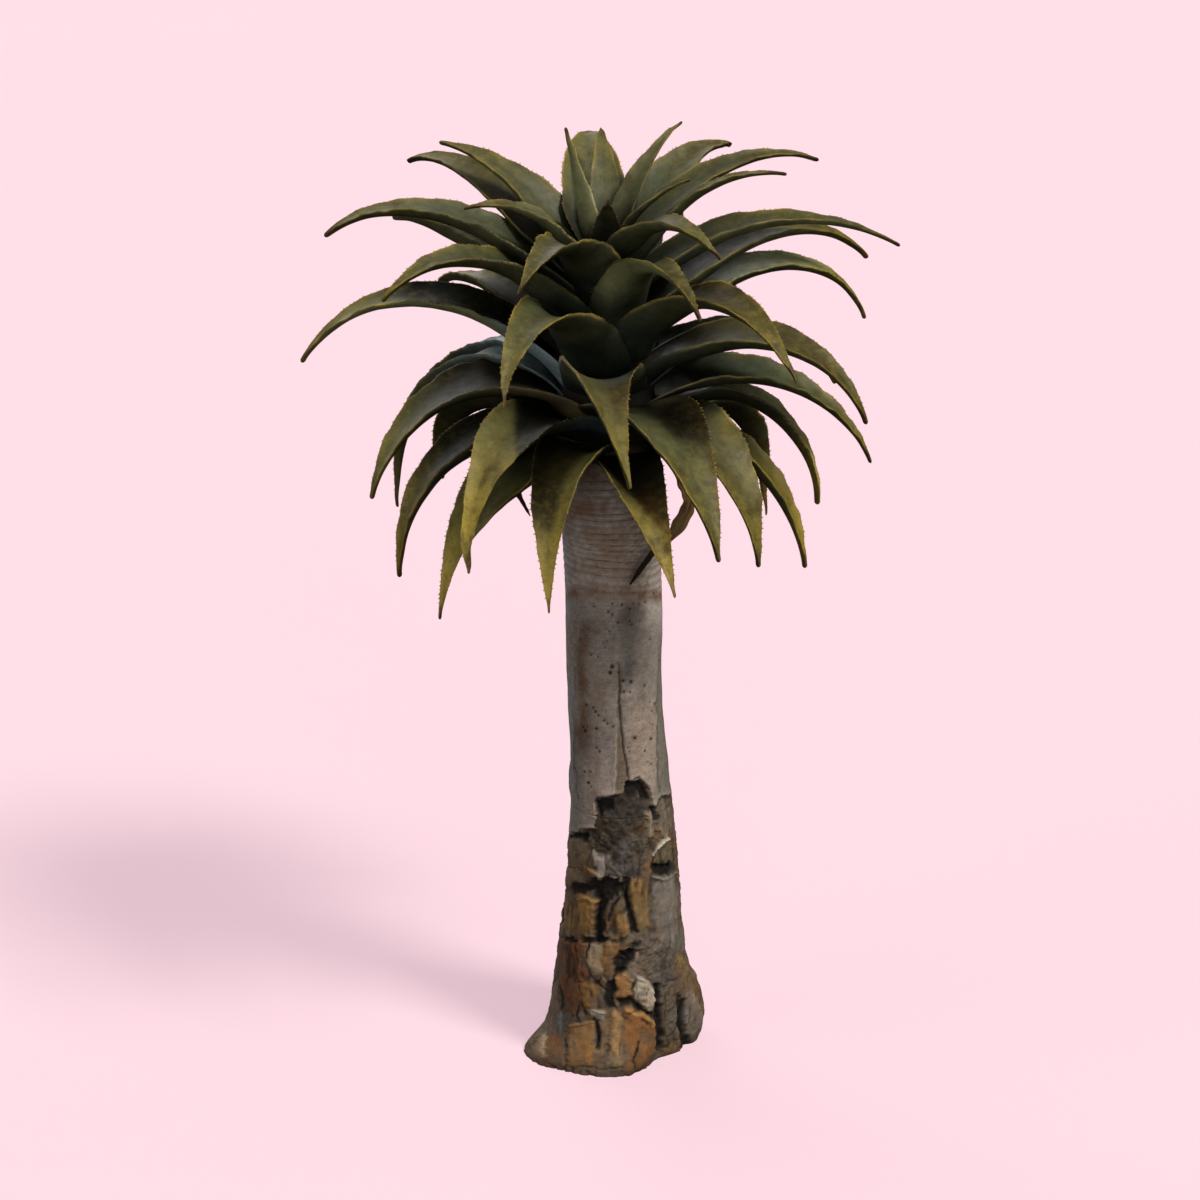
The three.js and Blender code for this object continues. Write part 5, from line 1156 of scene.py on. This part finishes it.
def build_leaf(shape):
    row, number, rng = shape["row"], shape["number"], shape["rng"]
    name, foot, bearing, rise, droop, bend, length, half, channel, roll, sweep, off = row
    tier = name.split("_")[1]
    grid, s, w, rim, at = shape["grid"], shape["s"], shape["w"], shape["rim"], shape["at"]
    tangent, across, face = shape["tangent"], shape["across"], shape["face"]
    n, m = grid.shape[:2]
    m_up = len(UP_STATIONS)
    pos = grid.reshape(-1, 3)
    flat_u = np.tile(shape["flat"], n)
    side = np.tile(shape["sides"], n)
    tt = np.repeat(s, m)
    ww = np.repeat(w, m)

    # skin
    skin, tip_skin = TIERS[tier]
    upper_tone, point_tone, under_tone = TONES.get(name, (1.0, 1.0, 1.0))
    skin = HUES.get(name, skin) * upper_tone
    tip_skin = tip_skin * point_tone
    tone = 1 + rng.normal(0, 0.07)
    warm = rng.normal(0, 0.6)
    local = np.stack([flat_u * ww, tt * length, np.full(len(tt), 50.0 * number)], 1)
    cloud = fbm(local * (1, 0.45, 1), 46, 500 + number, 4)
    blotch = fbm(local * (1, 0.6, 1), 24, 600 + number, 4)
    dapple = fbm(local * (1, 0.35, 1), 15, 700 + number, 3)
    col = np.tile(skin * tone, (len(tt), 1))
    col = mix(col, col * np.array([1.12, 1.0, 0.80]) if warm > 0 else col * np.array([0.90, 1.0, 1.04]), min(1.0, abs(warm)) * 0.7)
    tipward = smooth(0.40, 0.98, tt + 0.12 * cloud + 0.05 * (np.abs(flat_u) - 0.4))
    col = mix(col, tip_skin * tone, 0.85 * tipward)
    col = mix(col, lin(70, 68, 38) * min(upper_tone, 1.2), 0.50 * smooth(0.10, 0.7, blotch) * smooth(0.15, 0.5, tt))
    col = mix(col, lin(80, 58, 30), 0.60 * smooth(0.45, 0.85, blotch) * smooth(0.35, 0.75, tt))
    col = mix(col, lin(90, 100, 92) * upper_tone, 0.32 * smooth(0.1, 0.8, -cloud) * (1 - smooth(0.30, 0.6, tt)))
    col = col * (1 + 0.14 * dapple)[:, None]
    col = col * (1 - 0.16 * np.exp(-(flat_u / 0.2) ** 2) * (side > 0))[:, None]
    under = UNDER_SKIN[tier] * tone * under_tone
    below = np.tile(under, (len(tt), 1))
    below = mix(below, tip_skin * 0.50, 0.8 * smooth(0.62, 1.0, tt))
    below = below * (1 + 0.20 * cloud + 0.12 * dapple)[:, None]
    col = np.where((side < 0)[:, None], below, col)
    col = mix(col, FOOT_SKIN, 0.85 * (1 - smooth(0.06, 0.36, tt + 0.05 * cloud)))
    # horny margin, bright in some stretches and faded in others, yellowing towards the point
    stretch = np.clip(0.55 + 0.9 * fbm(np.stack([local[:, 0] * 0.3, local[:, 1], local[:, 2]], 1), 34, 720 + number, 3), 0.1, 1.1)
    edge = smooth(0.93, 0.98, np.abs(flat_u)) * np.where(side > 0, 1.0, 0.0)
    near_edge = smooth(0.60, 0.97, np.abs(flat_u)) * (side > 0)
    late = 0.55 + 0.45 * smooth(0.3, 0.8, tt)
    col = mix(col, MARGIN, np.clip((0.22 * near_edge + 0.74 * edge) * stretch * late, 0, 0.9) * smooth(0.02, 0.12, tt))
    dried = smooth(0.925, 0.990, tt + 0.030 * blotch + 0.014 * (np.abs(flat_u) - 0.5))
    col = mix(col, BROWN_TIP * (0.5 + 0.9 * rng.random()), dried * (0.45 + 0.50 * rng.random()))
    for zone in SHADED.get(name, []):
        u_from, u_full, t_full, t_to, colour, share = zone
        k = smooth(u_from, u_full, flat_u + 0.06 * cloud) if u_from < u_full else 1 - smooth(u_full, u_from, flat_u + 0.06 * cloud)
        k = k * (1 - smooth(t_full, t_to, tt + 0.04 * cloud)) * (side > 0)
        col = mix(col, colour, share * k)
    if name == "leaf_low_09":
        # painted shadow of the leaf above on the half that stands behind its neighbour's foot
        x_seen, y_seen = seen_at(pos)
        k = smooth(513, 518, x_seen + 1.5 * cloud) * (1 - 0.5 * smooth(565, 600, x_seen)) * (1 - smooth(0.50, 0.62, tt)) * (1 - smooth(452, 476, y_seen)) * (side > 0)
        col = mix(col, lin(13, 14, 9), 0.94 * k)
    if name == "leaf_low_01":
        # painted shadow of the leaf above on one half, over skin that turns browner towards the point
        x_seen, y_seen = seen_at(pos)
        k = (1 - smooth(-3.5, 2.5, y_seen - 494 - 1.14 * (x_seen - 630) + 2.0 * cloud)) * (side > 0)
        col = mix(col, mix(np.tile(lin(26, 23, 14), (len(tt), 1)), lin(92, 64, 29), smooth(478, 528, y_seen)), 0.86 * k)
    # painted shade: dark where the leaves stand close
    lit = brightness(shape["open"].reshape(-1))
    col = col * lit[:, None]
    for u_from, u_full, t_to, colour, share in GLEAM.get(name, []):
        k = smooth(u_from, u_full, flat_u + 0.05 * cloud) * (1 - smooth(0.5 * t_to, t_to, tt + 0.03 * blotch))
        col = mix(col, colour, share * k * (0.75 + 0.25 * np.clip(blotch + dapple, -1, 1)))
    marks = smooth(0.34, 0.92, tt + 0.10 * cloud + 0.10 * (np.abs(flat_u) - 0.5)) * np.where(side > 0, 1.0, 0.35) * lit
    marks = marks * {"low": 1.0, "mid": 0.62, "top": 0.42}[tier] + 0.12 * lit * (side > 0)

    faces, uv = [], []
    top_v = 0.94
    vs = np.linspace(0, top_v, n)
    for i in range(n - 1):
        a, b = i * m, (i + 1) * m
        for j in range(m):
            k = (j + 1) % m
            faces.append((a + j, b + j, b + k, a + k))
            uv += [(j / m, vs[i]), (j / m, vs[i + 1]), ((j + 1) / m, vs[i + 1]), ((j + 1) / m, vs[i])]
    faces.append(tuple(range(m)))
    uv += [(j / m, 0.0) for j in range(m)]
    last = (n - 1) * m
    faces.append(tuple(last + j for j in reversed(range(m))))
    uv += [(j / m, top_v) for j in reversed(range(m))]
    body = len(faces)

    # teeth on both margins
    pts = [pos]
    tints = [col]
    count = len(pos)
    dist = np.cumsum(np.r_[0, np.linalg.norm(np.diff(at, axis=0), axis=1)])
    teeth = []
    for border, sign in ((0, -1.0), (m_up - 1, 1.0)):
        go = 0.12 * length + rng.random() * 8
        while go < 0.955 * length:
            teeth.append((go, border, sign, 0.62 + 0.55 * rng.random()))
            go += 6.5 + 6.5 * rng.random()
    for q, (go, border, sign, big) in enumerate(teeth):
        f = np.interp(go + (off + 16), dist, np.arange(n))
        i = int(min(n - 2, math.floor(f)))
        k = f - i
        corner = pos[i * m + border] * (1 - k) + pos[(i + 1) * m + border] * k
        tg, ac, fc = tangent[i], across[i] * sign, face[i]
        size = big * (2.0 + 0.9 * math.sin(math.pi * min(1, go / length))) * (0.55 + 0.45 * min(1, half / 60))
        root = corner - ac * 0.9 - fc * 0.25 * rim[i]
        ring = [root - tg * 1.9 * big, root + fc * 0.9 * big, root + tg * 1.7 * big, root - fc * 0.9 * big]
        apex = corner + ac * size + tg * 0.75 * size + fc * 0.25 * size
        pts.append(np.array(ring + [apex]))
        shade = float(brightness(shape["open"][i, border]))
        tints.append(shade * np.array([MARGIN * 0.75] * 4 + [TOOTH * (0.5 + 0.5 * rng.random())]))
        u0, u1 = q / len(teeth) + 0.001, (q + 1) / len(teeth) - 0.001
        for e in range(4):
            g = (e + 1) % 4
            order = (count + e, count + g, count + 4) if sign > 0 else (count + g, count + e, count + 4)
            faces.append(order)
            uv += [(u0, 0.955), (u1, 0.955), ((u0 + u1) / 2, 0.985)]
        base_ring = tuple(count + e for e in ((3, 2, 1, 0) if sign > 0 else (0, 1, 2, 3)))
        faces.append(base_ring)
        uv += [(u0, 0.988), (u1, 0.988), (u1, 0.998), (u0, 0.998)]
        count += 5
    marks = np.r_[marks, np.zeros(count - len(pos))]
    piece = make_piece(name + "_blade", np.vstack(pts), faces, np.vstack(tints), uv, LEAF_MATERIAL[tier], body, marks)
    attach(piece, "root")
    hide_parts(name)
    return piece


# --------------------------------------------------------------- dried leaves
def build_dry(row, number):
    name, b0, b1, turn, z0, z1, fall, r0, r1, bulge, bulge_at, half, thick = row
    rng = np.random.default_rng(7000 + number)
    t = np.linspace(0, 1, 90)
    az = np.radians(b0 + (b1 - b0) * t ** turn)
    bow = smooth(0.24, 0.46, t) * (1 - smooth(0.66, 0.86, t)) * (1.0 if number == 0 else 0.0)
    z = z0 + (z1 - z0) * t ** fall + (40.0 if number == 0 else 0.0) * (1 - smooth(0.0, 0.34, t)) - 12 * bow
    r = r0 + (r1 - r0) * t + bulge * (0.88 if number == 0 else 1.0) * np.sin(np.pi * t ** bulge_at) + 2 * bow
    r = r - 12 * (1 - smooth(0, 0.06, t))
    mid = np.stack([axis_x(z) + r * np.cos(az), r * np.sin(az), z], 1)
    tangent = np.gradient(mid, axis=0)
    tangent /= np.linalg.norm(tangent, axis=1)[:, None]
    front = np.array([0.18, -0.95, 0.25])
    across = np.cross(tangent, front)
    across /= np.linalg.norm(across, axis=1)[:, None]
    face = np.cross(across, tangent)
    half = half * (1.0 if number == 0 else 1.2)
    w = half * (0.70 + 0.30 * smooth(0.06, 0.20, t)) * (1 - 0.22 * smooth(0.30, 0.60, t) - 0.46 * smooth(0.64, 0.86, t)) * (1 - 0.6 * smooth(0.93, 1, t)) * (1 + 0.10 * np.sin(23 * t + number) + 0.07 * np.sin(61 * t))
    deep = thick * (1 - 0.6 * t) * (1 - 0.7 * smooth(0.94, 1, t))
    ups = np.linspace(-1, 1, 13)
    lows = np.linspace(0.9, -0.9, 11)
    twist = np.radians(14 * np.sin(3.0 * t + rng.random() * 6))
    cs, sn = np.cos(twist)[:, None], np.sin(twist)[:, None]
    a2 = across * cs + face * sn
    f2 = face * cs - across * sn
    rings = []
    for u in ups:
        wrinkle = 0.7 * math.sin(u * 9 + number) * smooth(0.02, 0.1, t)
        rings.append((w * u, deep * (0.25 + 0.55 * u * u - 0.2) + wrinkle))
    for u in lows:
        rings.append((w * 0.97 * u, deep * (0.55 * u * u - 0.2) - deep * 0.8 * (1 - u * u) ** 0.7 - 0.4))
    m = len(rings)
    xs = np.stack([q[0] for q in rings], 1)
    ys = np.stack([q[1] for q in rings], 1)
    pos = (mid[:, None, :] + a2[:, None, :] * xs[..., None] + f2[:, None, :] * ys[..., None]).reshape(-1, 3)
    tt = np.repeat(t, m)
    uu = np.tile(np.r_[ups, lows], len(t))
    pos = pos + 0.9 * np.stack([fbm(pos, 26, 810 + k + 3 * number, 3) for k in range(3)], 1)
    streak = fbm(np.stack([uu * 14, tt * 90, np.full(len(tt), 9.0 * number)], 1), 9, 830, 3)
    if number == 0:
        col = mix(np.tile(lin(102, 78, 45), (len(tt), 1)), lin(66, 47, 24), smooth(-0.2, 0.6, streak))
        col = mix(col, lin(120, 96, 60), 0.6 * smooth(0.50, 0.66, tt) * (1 - smooth(0.70, 0.80, tt)))
        col = mix(col, lin(36, 26, 18), 0.9 * smooth(0.76, 0.88, tt))
        col = mix(col, lin(52, 38, 22), 0.8 * (1 - smooth(0.05, 0.38, tt)))
    else:
        col = mix(np.tile(lin(52, 42, 30), (len(tt), 1)), lin(34, 28, 22), smooth(-0.2, 0.6, streak))
    col = mix(col, col * 1.5, 0.5 * smooth(0.85, 1, np.abs(uu)))
    faces, uv = [], []
    vs = np.linspace(0, 0.97, len(t))
    for i in range(len(t) - 1):
        a, b = i * m, (i + 1) * m
        for j in range(m):
            k = (j + 1) % m
            faces.append((a + j, b + j, b + k, a + k))
            uv += [(j / m, vs[i]), (j / m, vs[i + 1]), ((j + 1) / m, vs[i + 1]), ((j + 1) / m, vs[i])]
    faces.append(tuple(range(m)))
    uv += [(j / m, 0.0) for j in range(m)]
    last = (len(t) - 1) * m
    faces.append(tuple(last + j for j in reversed(range(m))))
    uv += [(j / m, 0.98) for j in reversed(range(m))]
    piece = make_piece(name + "_strap", pos, faces, col, uv, DRY_MATERIAL)
    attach(piece, "root")
    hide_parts(name)
    return piece


# --------------------------------------------------------------------- making
build_trunk()
shapes = [leaf_shape(row, number) for number, row in enumerate(LEAVES)]
openness(shapes)
for shape in shapes:
    build_leaf(shape)
for number, row in enumerate(DRY_LEAVES):
    build_dry(row, number)

# ---------------------------------------------------------------------- stage
scene = bpy.context.scene
scene.view_settings.view_transform = "Standard"
scene.view_settings.look = "None"

ring = 96
wide = 90.0
ground = bpy.data.meshes.new("floor")
radii = [0.4, 1.0, 2.5, 6.0, 15.0, 40.0, wide]
verts = [(0.0, 0.0, 0.0)]
faces = []
for i, r in enumerate(radii):
    for j in range(ring):
        verts.append((r * math.cos(2 * math.pi * j / ring), r * math.sin(2 * math.pi * j / ring), 0.0))
for j in range(ring):
    faces.append((0, 1 + j, 1 + (j + 1) % ring))
for i in range(len(radii) - 1):
    for j in range(ring):
        a, b = 1 + i * ring, 1 + (i + 1) * ring
        k = (j + 1) % ring
        faces.append((a + j, b + j, b + k, a + k))
ground.from_pydata(verts, [], faces)
ground.materials.append(floor_material())
floor = bpy.data.objects.new("floor", ground)
scene.collection.objects.link(floor)
floor.visible_diffuse = False
floor.visible_glossy = False


def aim(obj, frm, to):
    obj.location = frm
    obj.rotation_mode = "QUATERNION"
    obj.rotation_quaternion = (Vector(to) - Vector(frm)).to_track_quat("-Z", "Y")
    scene.collection.objects.link(obj)


def sun(name, frm, strength, colour, angle):
    data = bpy.data.lights.new(name, "SUN")
    data.energy = strength
    data.color = colour
    data.angle = math.radians(angle)
    aim(bpy.data.objects.new(name, data), frm, (0, 0, 1.0))


sun("key", (2.7, -1.9, 4.9), 2.7, (1.0, 0.965, 0.90), 15)
sun("front_fill", (0.5, -5.0, 1.9), 1.05, (1.0, 0.97, 0.94), 50)
sun("left_fill", (-4.2, -1.8, 2.0), 0.62, (0.93, 0.96, 1.0), 45)
sun("top_fill", (0.3, 0.8, 5.0), 0.40, (0.92, 0.97, 1.0), 80)
sun("back_fill", (-2.2, 4.1, 2.6), 1.45, (1.0, 0.97, 0.94), 60)

world = bpy.data.worlds.new("studio")
world.use_nodes = True
back = world.node_tree.nodes["Background"]
back.inputs["Color"].default_value = (1.0, 0.86, 0.90, 1)
back.inputs["Strength"].default_value = 0.95
world.cycles_visibility.diffuse = False
world.cycles_visibility.glossy = False
scene.world = world

lens = bpy.data.cameras.new("camera")
lens.sensor_width = 36.0
lens.lens = 36.0 * CAM_F / CAM_SIZE
lens.clip_end = 300
camera = bpy.data.objects.new("camera", lens)
camera.location = CAM_AT * MM
camera.rotation_euler = (math.pi / 2 - CAM_DOWN, 0, 0)
scene.collection.objects.link(camera)
scene.camera = camera
